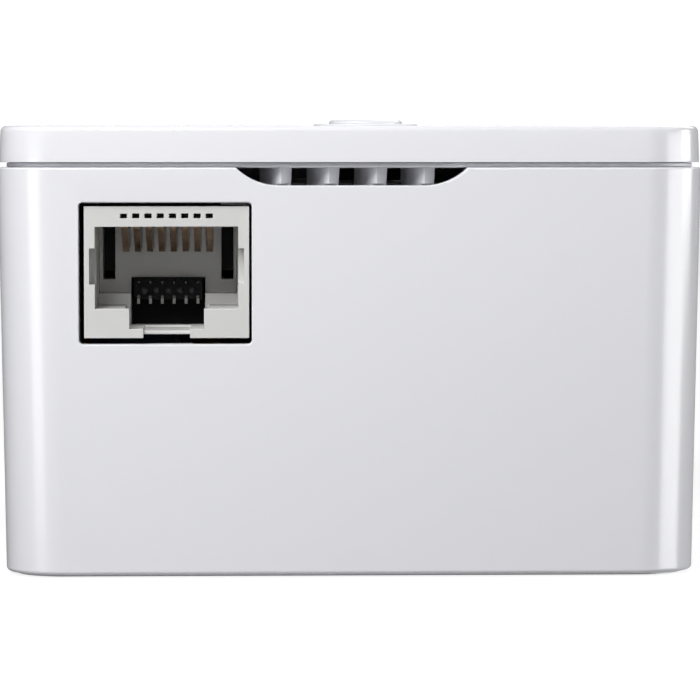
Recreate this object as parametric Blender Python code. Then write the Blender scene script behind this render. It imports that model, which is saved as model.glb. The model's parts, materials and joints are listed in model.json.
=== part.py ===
"""Powerline adapter: a two-part white case with a network socket in one end, vents behind
the lid's edge, a pairing button, and a mains plug whose two blades fold into the back.

The adapter lies on its back. +Z runs from the back to the lid, -Y is the end with the
network socket, and the origin is the centre of the back. Sizes are in millimetres, and
the helpers turn them into Blender's metres.
"""

import math

import bmesh
import bpy
from mathutils import Matrix, Vector

MM = 0.001
GAP = 0.3  # free space between pieces that are assembled side by side
SEAT = 0.08  # free space under a piece that rests on, or is soldered to, another

# Case
WIDTH = 59.2
LENGTH = 82.0
CORNER_R = 5.0
CORNER_STEPS = 6
DRAFT = 0.6  # how far each side leans in from the rim to the back
HOUSING_TOP = 34.15
WALL = 2.0
FLOOR = 2.2
NECK_TOP = 34.57
NECK_INSET = 0.5
COVER_TOP = 37.6
COVER_INSET = 0.15
COVER_CEILING = 35.6
COVER_RIM = 1.5

# Vents, one in each end, just under the lid
VENT_HALF = 9.65
VENT_DEPTH = 1.5
VENT_ARC_R = 5.1
VANE_PITCH = 3.99
VANE_COUNT = 4
VANE_FACE = 0.83
VANE_NOSE = 0.9  # how far the nose is cut back on its right-hand side
VANE_SETBACK = 1.6  # from the case's outer face to the noses
VANE_SHIFT = 0.54  # the vanes' front edges sit this far right, because the vanes lean left
VANE_LENGTH = 5.0
VANE_CLEAR = 0.15  # between a vane and the vent's lower edge
VANE_REACH = 1.75  # how far the left flank slants away from the nose
VANE_TAIL = 0.7  # thickness of a vane where it ends

# Inner frame, which fills the joint between housing and lid
FRAME_BOTTOM = 31.3
FRAME_TOP = 35.3
FRAME_WALL = 1.5
DUCT_HALF = 10.9
DUCT_DEPTH = 5.6
SILL_TOP = 33.0  # the ducts' rear sills and the baffle's lower edge, just over the board
SILL_T = 0.8
DUCT_WALL = 0.8
BAFFLE_Y = -2.7

# Network socket
JACK_X = -15.4
JACK_Z = 25.45
JACK_W = 13.7
JACK_H = 10.95
JACK_DEPTH = 15.0
JACK_SETBACK = 0.5
PORT_X = -15.5
PORT_Z = 25.35
PORT_W = 14.34
PORT_H = 11.75
CAVITY_W = 11.9
CAVITY_H = 6.8
CAVITY_TOP = 3.77  # height of the cavity's roof above the socket's centre
CAVITY_DEPTH = 11.5
LATCH_W = 6.2
LATCH_DROP = 1.67
LATCH_DEPTH = 9.2
KEY_W = 3.88
KEY_FLOOR = 0.61  # height of the web behind the key slot
KEY_WEB = 0.18
INSERT_DEPTH = 11.7
CONTACT_PITCH = 1.016
CONTACT_COUNT = 8
CONTACT_W = 0.46
CONTACT_T = 0.3

# Mains plug: two flat blades on a barrel that turns in a well
AXIS_Y = 10.0
AXIS_Z = 3.9
BLADE_SPACING = 12.7
BLADE_T = 1.5
BLADE_W = 6.35
BLADE_REACH = 20.9
BLADE_NECK = 3.0
BLADE_SHOULDER = 3.7
HEEL_REACH = 4.6
BARREL_R = 3.4
BARREL_HALF = 9.4
PIVOT_R = 1.6
PIVOT_HALF = 11.0
WELL_X = 12.2
WELL_FRONT = -18.5
WELL_BACK = 16.5
WELL_TOP = 8.6
SLOT_W = 2.3

# Boards
MAIN_BOARD_Z = 12.0
SIGNAL_BOARD_Z = 31.2
BOARD_T = 1.6
MAIN_TOP = MAIN_BOARD_Z + BOARD_T + SEAT
SIGNAL_TOP = SIGNAL_BOARD_Z + BOARD_T + SEAT
SIGNAL_UNDER = SIGNAL_BOARD_Z - SEAT

# Pairing button
BUTTON_X = 2.2
BUTTON_Y = -12.0
RING_R = 4.7
RING_BORE = 3.45
CAP_R = 3.3
RING_RISE = 0.33
CAP_RISE = 0.65

# Screws that pull the frame down onto the housing
SCREW_X = 24.75
SCREW_Y = 34.4
PILLAR_R = 3.4
PILLAR_TOP = 8.0
POST_X = 22.5  # posts that the main board rests on
POST_Y = 27.0
POST_R = 1.8
BOSS_R = 2.0
SHANK_R = 0.8
HEAD_SEAT = 3.0

LIGHTS = (("power", -3.8), ("powerline", 2.2), ("ethernet", 8.2))
LIGHTS_Y = 9.0

SIDES = (("left", -1), ("right", 1))


# Materials

def material(name, colour, roughness, metallic=0.0):
    made = bpy.data.materials.new(name)
    made.use_nodes = True
    surface = made.node_tree.nodes["Principled BSDF"]
    surface.inputs["Base Color"].default_value = (*colour, 1.0)
    surface.inputs["Roughness"].default_value = roughness
    surface.inputs["Metallic"].default_value = metallic
    made.diffuse_color = (*colour, 1.0)
    return made


def make_materials():
    return {
        "case": material("case_white", (0.80, 0.80, 0.82), 0.28),
        "frame": material("frame_white", (0.72, 0.72, 0.74), 0.45),
        "clear": material("light_guide_clear", (0.82, 0.86, 0.88), 0.15),
        "jack": material("jack_grey", (0.62, 0.63, 0.63), 0.5),
        "dark": material("moulding_black", (0.02, 0.02, 0.02), 0.45),
        "gold": material("contact_gold", (0.75, 0.52, 0.22), 0.3, 1.0),
        "nickel": material("blade_nickel", (0.72, 0.70, 0.66), 0.25, 1.0),
        "steel": material("screw_steel", (0.45, 0.45, 0.46), 0.35, 1.0),
        "spring": material("spring_bronze", (0.70, 0.48, 0.30), 0.35, 1.0),
        "board": material("board_green", (0.03, 0.16, 0.07), 0.45),
        "chip": material("chip_black", (0.03, 0.03, 0.035), 0.5),
        "pad": material("thermal_pad_grey", (0.45, 0.50, 0.58), 0.8),
        "aluminium": material("sink_aluminium", (0.65, 0.66, 0.68), 0.4, 1.0),
        "led": material("led_resin", (0.85, 0.83, 0.65), 0.3),
        "ferrite": material("ferrite_grey", (0.10, 0.10, 0.11), 0.7),
        "tape": material("winding_tape", (0.85, 0.66, 0.12), 0.5),
        "copper": material("copper_wire", (0.70, 0.30, 0.14), 0.35, 1.0),
        "sleeve": material("capacitor_sleeve", (0.03, 0.05, 0.14), 0.4),
        "film": material("film_box_yellow", (0.80, 0.62, 0.10), 0.45),
        "disc": material("disc_blue", (0.06, 0.20, 0.45), 0.4),
        "fuse": material("fuse_ceramic", (0.78, 0.74, 0.66), 0.4),
        "lead": material("lead_insulation", (0.50, 0.05, 0.04), 0.45),
    }


# Mesh helpers

def new_object(name, bm, surface):
    bmesh.ops.recalc_face_normals(bm, faces=bm.faces)
    mesh = bpy.data.meshes.new(name)
    bm.to_mesh(mesh)
    bm.free()
    obj = bpy.data.objects.new(name, mesh)
    bpy.context.scene.collection.objects.link(obj)
    if surface is not None:
        mesh.materials.append(surface)
    return obj


def box(name, low, high, surface=None):
    bm = bmesh.new()
    made = bmesh.ops.create_cube(bm, size=1.0)
    centre = [(a + b) / 2 * MM for a, b in zip(low, high)]
    size = [(b - a) * MM for a, b in zip(low, high)]
    place = Matrix.Translation(centre) @ Matrix.Diagonal((*size, 1.0))
    bmesh.ops.transform(bm, matrix=place, verts=made["verts"])
    return new_object(name, bm, surface)


def skin(bm, rings, closed=False):
    """Quads between each ring of vertices and the next, and a face over each open end."""
    count = len(rings[0])
    pairs = list(zip(rings, rings[1:]))
    if closed:
        pairs.append((rings[-1], rings[0]))
    for lower, upper in pairs:
        for i in range(count):
            j = (i + 1) % count
            bm.faces.new((lower[i], lower[j], upper[j], upper[i]))
    if not closed:
        bm.faces.new(reversed(rings[0]))
        bm.faces.new(rings[-1])


def loft(name, sections, surface=None, closed=False):
    """A solid through sections, each a list of (x, y, z) with the same number of points."""
    bm = bmesh.new()
    rings = [[bm.verts.new(Vector(point) * MM) for point in section] for section in sections]
    skin(bm, rings, closed)
    return new_object(name, bm, surface)


def prism(name, outline, axis, low, high, surface=None):
    """An outline of (u, v) points, extruded along an axis from low to high."""
    def placed(u, v, along):
        return {"x": (along, u, v), "y": (u, along, v), "z": (u, v, along)}[axis]

    sections = [[placed(u, v, along) for u, v in outline] for along in (low, high)]
    return loft(name, sections, surface)


def circle(centre_u, centre_v, radius, steps):
    angles = [2 * math.pi * i / steps for i in range(steps)]
    return [(centre_u + radius * math.cos(a), centre_v + radius * math.sin(a)) for a in angles]


def rod(name, axis, centre, radius, low, high, surface=None, steps=16):
    return prism(name, circle(*centre, radius, steps), axis, low, high, surface)


def turned(name, centre, profile, surface=None, steps=20):
    """A solid of revolution about a vertical axis, from (radius, z) points that close on it."""
    sections = []
    for i in range(steps):
        angle = 2 * math.pi * i / steps
        across = (math.cos(angle), math.sin(angle))
        section = [(centre[0] + r * across[0], centre[1] + r * across[1], z) for r, z in profile]
        sections.append(section)
    return loft(name, sections, surface, closed=True)


def rounded_rectangle(half_x, half_y, radius, steps=CORNER_STEPS):
    points = []
    for quarter, (sx, sy) in enumerate(((1, 1), (-1, 1), (-1, -1), (1, -1))):
        for step in range(steps + 1):
            angle = math.pi / 2 * (quarter + step / steps)
            x = sx * (half_x - radius) + radius * math.cos(angle)
            y = sy * (half_y - radius) + radius * math.sin(angle)
            points.append((x, y))
    return points


def case_section(z, inset):
    """The case's outline at a height, leaning in towards the back, moved in by inset."""
    lean = DRAFT * (1 - min(z, HOUSING_TOP) / HOUSING_TOP)
    outline = rounded_rectangle(
        WIDTH / 2 - inset - lean, LENGTH / 2 - inset - lean, max(CORNER_R - inset, 1.0)
    )
    return [(x, y, z) for x, y in outline]


def combine(obj, operation, *tools):
    """Cuts the tools from obj, or joins them to it, and hides them."""
    for tool in tools:
        tool.hide_render = True
        tool.display_type = "WIRE"
        step = obj.modifiers.new(tool.name, "BOOLEAN")
        step.operation = operation
        step.object = tool
    return obj


def cut(obj, *tools):
    return combine(obj, "DIFFERENCE", *tools)


def join(obj, *tools):
    return combine(obj, "UNION", *tools)


def shade_round(obj, degrees=40):
    obj.data.shade_smooth()
    obj.data.set_sharp_from_angle(angle=math.radians(degrees))
    return obj


# Case

def vent_outline():
    """A boat shape: a flat bottom that an arc takes up to the rim at each end."""
    bottom = HOUSING_TOP - VENT_DEPTH
    reach = math.acos(1 - VENT_DEPTH / VENT_ARC_R)
    flat_half = VENT_HALF - VENT_ARC_R * math.sin(reach)
    arc = []
    for step in range(6):
        angle = reach * step / 5
        x = flat_half + VENT_ARC_R * math.sin(angle)
        arc.append((x, bottom + VENT_ARC_R * (1 - math.cos(angle))))
    above = HOUSING_TOP + 1.0
    right = [*arc, (VENT_HALF, above)]
    left = [(-x, z) for x, z in reversed(right)]
    return left + right


def make_housing(surface):
    inner_floor_inset = WALL
    sections = [
        case_section(0.0, 0.5),
        case_section(0.15, 0.15),
        case_section(0.5, 0.0),
        case_section(HOUSING_TOP - 0.2, 0.0),
        case_section(HOUSING_TOP, 0.2),
        case_section(HOUSING_TOP, inner_floor_inset),
        case_section(FLOOR, inner_floor_inset),
    ]
    housing = loft("rear_housing", sections, surface)
    for sx in (-1, 1):
        for sy in (-1, 1):
            place = (sx * SCREW_X, sy * SCREW_Y)
            name = f"pillar_{sx}_{sy}"
            join(housing, rod(name, "z", place, PILLAR_R, 1.0, PILLAR_TOP))
            spot = (sx * POST_X, sy * POST_Y)
            join(housing, rod("post_" + name, "z", spot, POST_R, 1.0, MAIN_BOARD_Z - SEAT, steps=10))
            cut(housing, rod("sink_" + name, "z", place, 2.5, -1.0, HEAD_SEAT))
            bore = rod("hole_" + name, "z", place, 1.4, HEAD_SEAT - 0.5, PILLAR_TOP + 1, steps=12)
            cut(housing, bore)
    port = box(
        "port_cut",
        (PORT_X - PORT_W / 2, -LENGTH / 2 - 2, PORT_Z - PORT_H / 2),
        (PORT_X + PORT_W / 2, -LENGTH / 2 + 4, PORT_Z + PORT_H / 2),
    )
    well_hole = box(
        "well_cut",
        (-WELL_X - GAP, WELL_FRONT - GAP, -1.0),
        (WELL_X + GAP, WELL_BACK + GAP, FLOOR + 2),
    )
    cut(housing, port, well_hole)
    for name, end in (("near", -1), ("far", 1)):
        middle = end * LENGTH / 2
        cut(housing, prism(f"vent_cut_{name}", vent_outline(), "y", middle - 4, middle + 4))
    return shade_round(housing)


def make_cover(surface):
    sections = [
        case_section(NECK_TOP, COVER_INSET + 0.45),
        case_section(NECK_TOP + 0.35, COVER_INSET),
        case_section(COVER_TOP - 0.5, COVER_INSET + 0.05),
        case_section(COVER_TOP - 0.15, COVER_INSET + 0.2),
        case_section(COVER_TOP, COVER_INSET + 0.55),
    ]
    cover = loft("front_cover", sections, surface)
    hollow = [case_section(z, COVER_INSET + COVER_RIM) for z in (NECK_TOP - 1, COVER_CEILING)]
    cut(cover, loft("cover_hollow", hollow))
    cut(cover, rod("ring_seat", "z", (BUTTON_X, BUTTON_Y), 5.8, COVER_CEILING - 1, 36.2, steps=24))
    cut(cover, rod("ring_hole", "z", (BUTTON_X, BUTTON_Y), RING_R + 0.12, 36.0, 39.0, steps=24))
    for name, x in LIGHTS:
        outline = pill(x, LIGHTS_Y, 2.12, 0.92)
        cut(cover, prism(f"window_{name}", outline, "z", COVER_CEILING - 1, COVER_TOP + 1))
    for side in (-1, 1):
        for y in (-18.0, 18.0):
            join(cover, snap_tab(side, y))
    return shade_round(cover)


def snap_tab(side, y):
    """A tab that hangs from the lid and hooks under the frame's lower edge."""
    face = WIDTH / 2 - WALL - GAP - FRAME_WALL - GAP
    outline = [
        (side * face, COVER_CEILING + 0.5),
        (side * face, FRAME_BOTTOM - 0.15),
        (side * (face + 0.7), FRAME_BOTTOM - 0.15),
        (side * face, FRAME_BOTTOM - 1.4),
        (side * (face - 1.0), FRAME_BOTTOM - 1.4),
        (side * (face - 1.0), COVER_CEILING + 0.5),
    ]
    return prism(f"tab_{side}_{y:.0f}", outline, "y", y - 2.5, y + 2.5)


def pill(x, y, half_length, half_width, steps=6):
    """A rounded slot's outline, long in Y."""
    points = []
    for end in (1, -1):
        centre = y + end * (half_length - half_width)
        for step in range(steps + 1):
            angle = math.pi * step / steps
            across = half_width * math.cos(angle) * end
            points.append((x + across, centre + end * half_width * math.sin(angle)))
    return points


# Inner frame with the vent ducts

def vane_outline(front_x, end):
    """One vane in plan. Its nose is cut back to the right. Its left flank leaves the nose
    at a slant and turns further inwards all the way."""
    front = end * (LENGTH / 2 - VANE_SETBACK)
    nose_x = front_x - VANE_FACE / 2
    steps = 6
    left = []
    for step in range(steps + 1):
        share = step / steps
        left.append((nose_x - VANE_REACH * share, front - end * VANE_LENGTH * share ** 1.4))
    right = [
        (nose_x + VANE_FACE, front - end * VANE_NOSE),
        (nose_x + 0.1, front - end * (VANE_NOSE + 1.4)),
        (nose_x - VANE_REACH + VANE_TAIL, front - end * VANE_LENGTH),
    ]
    return left + right[::-1]


def make_frame(surface):
    outer, inner = WALL + GAP, WALL + GAP + FRAME_WALL
    lip = (HOUSING_TOP + SEAT, NECK_TOP - SEAT)
    sections = [
        case_section(FRAME_BOTTOM, outer),
        case_section(lip[0], outer),
        case_section(lip[0], NECK_INSET),
        case_section(lip[1], NECK_INSET),
        case_section(lip[1], outer),
        case_section(FRAME_TOP, outer),
        case_section(FRAME_TOP, inner),
        case_section(FRAME_BOTTOM, inner),
    ]
    frame = loft("inner_frame", sections, surface, closed=True)
    for name, end in (("near", -1), ("far", 1)):
        front = end * (LENGTH / 2 - outer - 0.4)
        back = end * (LENGTH / 2 - outer - DUCT_DEPTH)
        y_low, y_high = sorted((front, back))
        duct_low, duct_high = FRAME_BOTTOM - 0.3, FRAME_TOP - 0.3
        join(frame, box(f"duct_{name}", (-DUCT_HALF, y_low, duct_low), (DUCT_HALF, y_high, duct_high)))
        for part, reach, floor in (("mouth", -SILL_T, FRAME_BOTTOM + 0.6), ("rear", 2.0, SILL_TOP)):
            inside, mouth = sorted((back - end * reach, end * LENGTH / 2))
            half = DUCT_HALF - DUCT_WALL
            low, high = (-half, inside, floor), (half, mouth, HOUSING_TOP - 0.05)
            cut(frame, box(f"passage_{name}_{part}", low, high))
        edge_y = sorted((end * LENGTH / 2, end * (LENGTH / 2 - outer)))
        over_edge = HOUSING_TOP - VENT_DEPTH + VANE_CLEAR
        for i in range(VANE_COUNT):
            x = VANE_SHIFT + (i - (VANE_COUNT - 1) / 2) * VANE_PITCH
            reach = (FRAME_BOTTOM + 0.1, HOUSING_TOP + 0.35)
            vane = prism(f"vane_{name}_{i}", vane_outline(x, end), "z", *reach)
            low, high = (x - VANE_PITCH, edge_y[0], FRAME_BOTTOM - 1), (x + VANE_PITCH, edge_y[1], over_edge)
            cut(vane, box(f"vane_foot_{name}_{i}", low, high))
            join(frame, vane)
    half = WIDTH / 2 - inner + 0.4
    low, high = (-half, BAFFLE_Y - 0.5, SILL_TOP), (half, BAFFLE_Y + 0.5, FRAME_TOP - 0.1)
    join(frame, box("baffle", low, high))
    for sx in (-1, 1):
        for sy in (-1, 1):
            place = (sx * SCREW_X, sy * SCREW_Y)
            name = f"boss_{sx}_{sy}"
            join(frame, rod(name, "z", place, BOSS_R, PILLAR_TOP + GAP, FRAME_TOP - 1))
            pilot = rod("pilot_" + name, "z", place, SHANK_R + 0.15, PILLAR_TOP - 1, 18.0, steps=8)
            cut(frame, pilot)
    return shade_round(frame)


def make_screw(name, place, surface):
    """A pan-head screw, driven from the back into the frame's boss, with a cross recess."""
    head_low = HEAD_SEAT - SEAT - 1.7
    profile = [
        (0.0, 16.5),
        (0.5, 16.5),
        (SHANK_R, 15.6),
        (SHANK_R, HEAD_SEAT - SEAT),
        (2.2, HEAD_SEAT - SEAT),
        (2.2, head_low + 0.6),
        (1.8, head_low + 0.15),
        (1.2, head_low),
        (0.0, head_low),
    ]
    bm = bmesh.new()
    line = [bm.verts.new((r * MM, 0, z * MM)) for r, z in profile]
    edges = [bm.edges.new(pair) for pair in zip(line, line[1:])]
    bmesh.ops.spin(
        bm, geom=line + edges, axis=(0, 0, 1), cent=(0, 0, 0), steps=16, angle=2 * math.pi
    )
    bmesh.ops.remove_doubles(bm, verts=bm.verts, dist=0.01 * MM)
    screw = new_object(name, bm, surface)
    screw.location = (place[0] * MM, place[1] * MM, 0)
    x, y = place
    for along, (half_x, half_y) in (("x", (1.1, 0.25)), ("y", (0.25, 1.1))):
        low = (x - half_x, y - half_y, head_low - 1)
        high = (x + half_x, y + half_y, head_low + 0.9)
        cut(screw, box(f"{name}_recess_{along}", low, high))
    return shade_round(screw)


# Network socket

def make_jack(surface):
    """The socket's body: a stepped cavity, a latch slot under it, and slots for the wires."""
    front = -LENGTH / 2 + JACK_SETBACK
    back = front + JACK_DEPTH
    low_z, high_z = JACK_Z - JACK_H / 2, JACK_Z + JACK_H / 2
    jack = box(
        "jack_housing",
        (JACK_X - JACK_W / 2, front, low_z),
        (JACK_X + JACK_W / 2, back, high_z),
        surface,
    )
    roof = JACK_Z + CAVITY_TOP
    floor = roof - CAVITY_H

    latch = floor - LATCH_DROP

    def hole(name, half_w, depths, heights, x=0.0):
        """A hole from one depth behind the face to another, and between two heights."""
        low = (JACK_X + x - half_w, front + depths[0], heights[0])
        high = (JACK_X + x + half_w, front + depths[1], heights[1])
        return box("jack_" + name, low, high)

    cut(jack, hole("cavity_front", CAVITY_W / 2, (-1, LATCH_DEPTH), (floor, roof)))
    cut(jack, hole("cavity_rear", CAVITY_W / 2 - 0.1, (-1, CAVITY_DEPTH), (floor + 0.93, roof - 0.02)))
    cut(jack, hole("latch", LATCH_W / 2, (-1, LATCH_DEPTH + 0.02), (latch, floor + 1.0)))
    cut(jack, hole("key_front", KEY_W / 2, (-1, 0.8), (low_z - 1, latch + 0.5)))
    cut(jack, hole("key_rear", KEY_W / 2, (-1, 7.0), (low_z + KEY_FLOOR, latch + 0.48)))
    cut(jack, hole("key_under", KEY_W / 2 + 0.2, (0.7, 3.5), (low_z - 1, low_z + KEY_FLOOR - KEY_WEB)))
    cut(jack, hole("window", LATCH_W / 2 - 0.05, (8.6, JACK_DEPTH + 1), (latch + 0.05, floor + 2.2)))
    for name, side in SIDES:
        ear_x, slot_x = side * (CAVITY_W / 2 + 0.22), side * 5.08
        cut(jack, hole(f"ear_{name}", 0.25, (-1, 1.6), (floor + 2.02, floor + 5.0), x=ear_x))
        slot_depths = (9.0, JACK_DEPTH + 1)
        cut(jack, hole(f"slot_{name}", 0.52, slot_depths, (floor + 2.08, roof - 0.15), x=slot_x))
    for i in range(CONTACT_COUNT):
        x = (i - (CONTACT_COUNT - 1) / 2) * CONTACT_PITCH
        groove_depths = (1.2, CAVITY_DEPTH + 0.6)
        cut(jack, hole(f"groove_{i}", CONTACT_W / 2 + 0.08, groove_depths, (roof - 0.4, roof + 0.62), x=x))
        cut(jack, hole(f"peep_{i}", 0.29, (-1, 1.1), (roof + 0.71, roof + 1.1), x=x))
    return jack


def make_contact(index, surface):
    """A flat spring wire: it lies in the roof's groove, turns at the front and slants back."""
    front = -LENGTH / 2 + JACK_SETBACK
    roof = JACK_Z + CAVITY_TOP
    x = JACK_X + (index - (CONTACT_COUNT - 1) / 2) * CONTACT_PITCH
    half = CONTACT_T / 2
    top = roof + 0.4
    outline = [
        (front + 11.8, top + half),
        (front + 1.9, top + half),
        (front + 1.5, top),
        (front + 1.7, top - 2 * half),
        (front + 8.0, roof - 2.05),
        (front + 8.2, roof - 2.05 + 1.6 * half),
        (front + 2.6, top - half),
        (front + 11.8, top - half),
    ]
    half_w = CONTACT_W / 2
    return prism(f"jack_contact_{index + 1}", outline, "x", x - half_w, x + half_w, surface)


def make_jack_insert(surface):
    """The black block behind the cavity that guides the wires down to the board."""
    front = -LENGTH / 2 + JACK_SETBACK
    floor = JACK_Z + CAVITY_TOP - CAVITY_H
    half = LATCH_W / 2 - 0.35
    insert = box(
        "jack_insert",
        (JACK_X - half, front + INSERT_DEPTH, floor - LATCH_DROP + 0.6),
        (JACK_X + half, front + JACK_DEPTH - 0.4, floor + 1.9),
        surface,
    )
    step = box(
        "insert_step",
        (JACK_X - 4, front + INSERT_DEPTH - 1, floor - 3),
        (JACK_X + 4, front + INSERT_DEPTH + 0.8, floor + 0.3),
    )
    return cut(insert, step)


# Mains plug

def blade_x(side):
    return side * BLADE_SPACING / 2


def make_blade(name, side, surface):
    """A flat blade, stowed towards the socket's end, with a heel behind its axis."""
    tip, shoulder = AXIS_Y - BLADE_REACH, AXIS_Y - BLADE_SHOULDER
    half, neck = BLADE_W / 2, BLADE_NECK / 2
    outline = [
        (AXIS_Y + HEEL_REACH - 0.6, AXIS_Z + neck),
        (shoulder, AXIS_Z + neck),
        (shoulder, AXIS_Z + half),
        (tip + 1.2, AXIS_Z + half),
        (tip, AXIS_Z + half - 1.2),
        (tip, AXIS_Z - half + 1.2),
        (tip + 1.2, AXIS_Z - half),
        (shoulder, AXIS_Z - half),
        (shoulder, AXIS_Z - neck),
        (AXIS_Y + HEEL_REACH - 0.6, AXIS_Z - neck),
        (AXIS_Y + HEEL_REACH, AXIS_Z - neck * 0.5),
        (AXIS_Y + HEEL_REACH, AXIS_Z + neck * 0.5),
    ]
    x = blade_x(side)
    blade = prism(name, outline, "x", x - BLADE_T / 2, x + BLADE_T / 2, surface)
    edge = blade.modifiers.new("rounded_edges", "BEVEL")
    edge.width = 0.25 * MM
    edge.segments = 2
    edge.limit_method = "ANGLE"
    edge.angle_limit = math.radians(60)
    blade.data.set_sharp_from_angle(angle=math.radians(40))
    return blade


def make_carrier(surface):
    """The barrel that both blades are moulded into, with a pivot on each end."""
    centre = (AXIS_Y, AXIS_Z)
    carrier = rod("plug_carrier", "x", centre, BARREL_R, -BARREL_HALF, BARREL_HALF, surface, steps=24)
    join(carrier, rod("carrier_pivots", "x", centre, PIVOT_R, -PIVOT_HALF, PIVOT_HALF))
    for name, side in SIDES:
        x = blade_x(side)
        low = (x - BLADE_T / 2 - SEAT, AXIS_Y - 6, AXIS_Z - BLADE_NECK / 2 - SEAT)
        high = (x + BLADE_T / 2 + SEAT, AXIS_Y + 6, AXIS_Z + BLADE_NECK / 2 + SEAT)
        cut(carrier, box(f"carrier_slot_{name}", low, high))
    return shade_round(carrier)


def make_well(surface):
    """The pocket in the back that the blades fold into, with a scoop for a fingertip."""
    well = box("plug_well", (-WELL_X, WELL_FRONT, 0.0), (WELL_X, WELL_BACK, WELL_TOP), surface)
    flange = box(
        "well_flange",
        (-WELL_X - 1.8, WELL_FRONT - 1.8, FLOOR + SEAT),
        (WELL_X + 1.8, WELL_BACK + 1.8, FLOOR + 1.4),
    )
    join(well, flange)
    centre = (AXIS_Y, AXIS_Z)
    trough = rod("trough", "x", centre, BARREL_R + GAP, -BARREL_HALF - GAP, BARREL_HALF + GAP, steps=24)
    mouth = box(
        "trough_mouth",
        (-BARREL_HALF - GAP, AXIS_Y - BARREL_R - GAP, -1.0),
        (BARREL_HALF + GAP, AXIS_Y + BARREL_R + GAP, AXIS_Z),
    )
    pivots = rod("pivot_holes", "x", centre, PIVOT_R + 0.12, -PIVOT_HALF - GAP, PIVOT_HALF + GAP)
    cut(well, trough, mouth, pivots)
    for name, side in SIDES:
        x = blade_x(side)
        slot = box(
            f"blade_slot_{name}",
            (x - SLOT_W / 2, AXIS_Y - BLADE_REACH - 0.8, -1.0),
            (x + SLOT_W / 2, AXIS_Y, AXIS_Z + BLADE_W / 2 + 0.4),
        )
        heel = rod(f"heel_{name}", "x", centre, HEEL_REACH + 0.35, x - SLOT_W / 2, x + SLOT_W / 2, steps=24)
        cut(well, slot, heel)
    scoop_r = 9.0
    scoop_y = AXIS_Y - BLADE_REACH - 1.2
    scoop = rod("finger_scoop", "x", (scoop_y, 3.3 - scoop_r), scoop_r, -9.4, 9.4, steps=32)
    cut(well, scoop)
    return shade_round(well)


def make_leaf(name, side, surface):
    """A contact leaf over each heel: flat on the well, then turned up towards the board."""
    x = blade_x(side)
    low, high = WELL_TOP + 0.25, WELL_TOP + 0.6
    outline = [
        (AXIS_Y - 2.0, low),
        (20.3, low),
        (20.3, MAIN_BOARD_Z - 0.4),
        (19.95, MAIN_BOARD_Z - 0.4),
        (19.95, high),
        (AXIS_Y - 2.0, high),
    ]
    return prism(name, outline, "x", x - 1.4, x + 1.4, surface)


def make_lead(name, side, surface):
    """A short insulated lead from a leaf's tab, round to the edge of the main board."""
    start = Vector((blade_x(side), 20.3 + 1.0, 10.2))
    end = Vector((side * 20.0, 32.0, 14.5))
    route = [
        start,
        start + Vector((side * 0.5, 3.5, -2.2)),
        Vector((side * 12.0, 31.5, 6.5)),
        Vector((side * 17.0, 32.4, 9.0)),
        end,
    ]
    curve = bpy.data.curves.new(name, "CURVE")
    curve.dimensions = "3D"
    spline = curve.splines.new("POLY")
    points = smooth_route(route, 5)
    spline.points.add(len(points) - 1)
    for point, place in zip(spline.points, points):
        point.co = (*(place * MM), 1.0)
    curve.bevel_depth = 0.75 * MM
    curve.bevel_resolution = 2
    curve.use_fill_caps = True
    curve.materials.append(surface)
    lead = bpy.data.objects.new(name, curve)
    bpy.context.scene.collection.objects.link(lead)
    return lead


def smooth_route(route, steps):
    """Catmull-Rom points through a route."""
    padded = [route[0] * 2 - route[1], *route, route[-1] * 2 - route[-2]]
    points = []
    for a, b, c, d in zip(padded, padded[1:], padded[2:], padded[3:]):
        for step in range(steps):
            t = step / steps
            points.append(
                0.5 * (2 * b + (c - a) * t + (2 * a - 5 * b + 4 * c - d) * t ** 2
                       + (3 * b - a - 3 * c + d) * t ** 3)
            )
    points.append(route[-1])
    return points


# Pairing button and lights

def make_button(materials):
    place = (BUTTON_X, BUTTON_Y)
    ring_top = COVER_TOP + RING_RISE
    ring = [
        (RING_BORE, 35.3),
        (5.6, 35.3),
        (5.6, 36.1),
        (RING_R, 36.1),
        (RING_R, ring_top - 0.2),
        (RING_R - 0.2, ring_top),
        (RING_BORE + 0.15, ring_top),
        (RING_BORE, ring_top - 0.15),
    ]
    shade_round(turned("button_ring", place, ring, materials["frame"], steps=32))
    cap_top = COVER_TOP + CAP_RISE
    low = 34.66
    cap = [
        (0.0, low),
        (4.3, low),
        (4.3, low + 0.5),
        (CAP_R, low + 0.5),
        (CAP_R, cap_top - 0.3),
        (CAP_R - 0.3, cap_top - 0.05),
        (2.2, cap_top),
        (0.0, cap_top - 0.12),
    ]
    shade_round(lathe("pair_button", place, cap, materials["case"], 32))
    body = box(
        "tact_switch",
        (BUTTON_X - 3.0, BUTTON_Y - 3.0, SIGNAL_TOP),
        (BUTTON_X + 3.0, BUTTON_Y + 3.0, 34.05),
        materials["chip"],
    )
    cut(body, rod("plunger_bore", "z", place, 1.75, 33.4, 35.0))
    rod("switch_plunger", "z", place, 1.6, 33.95, 34.6, materials["dark"], steps=16)


def lathe(name, place, profile, surface, steps):
    """A turned solid whose profile starts and ends on its axis."""
    bm = bmesh.new()
    line = [bm.verts.new((r * MM, 0, z * MM)) for r, z in profile]
    edges = [bm.edges.new(pair) for pair in zip(line, line[1:])]
    bmesh.ops.spin(
        bm, geom=line + edges, axis=(0, 0, 1), cent=(0, 0, 0), steps=steps, angle=2 * math.pi
    )
    bmesh.ops.remove_doubles(bm, verts=bm.verts, dist=0.01 * MM)
    obj = new_object(name, bm, surface)
    obj.location = (place[0] * MM, place[1] * MM, 0)
    return obj


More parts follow.
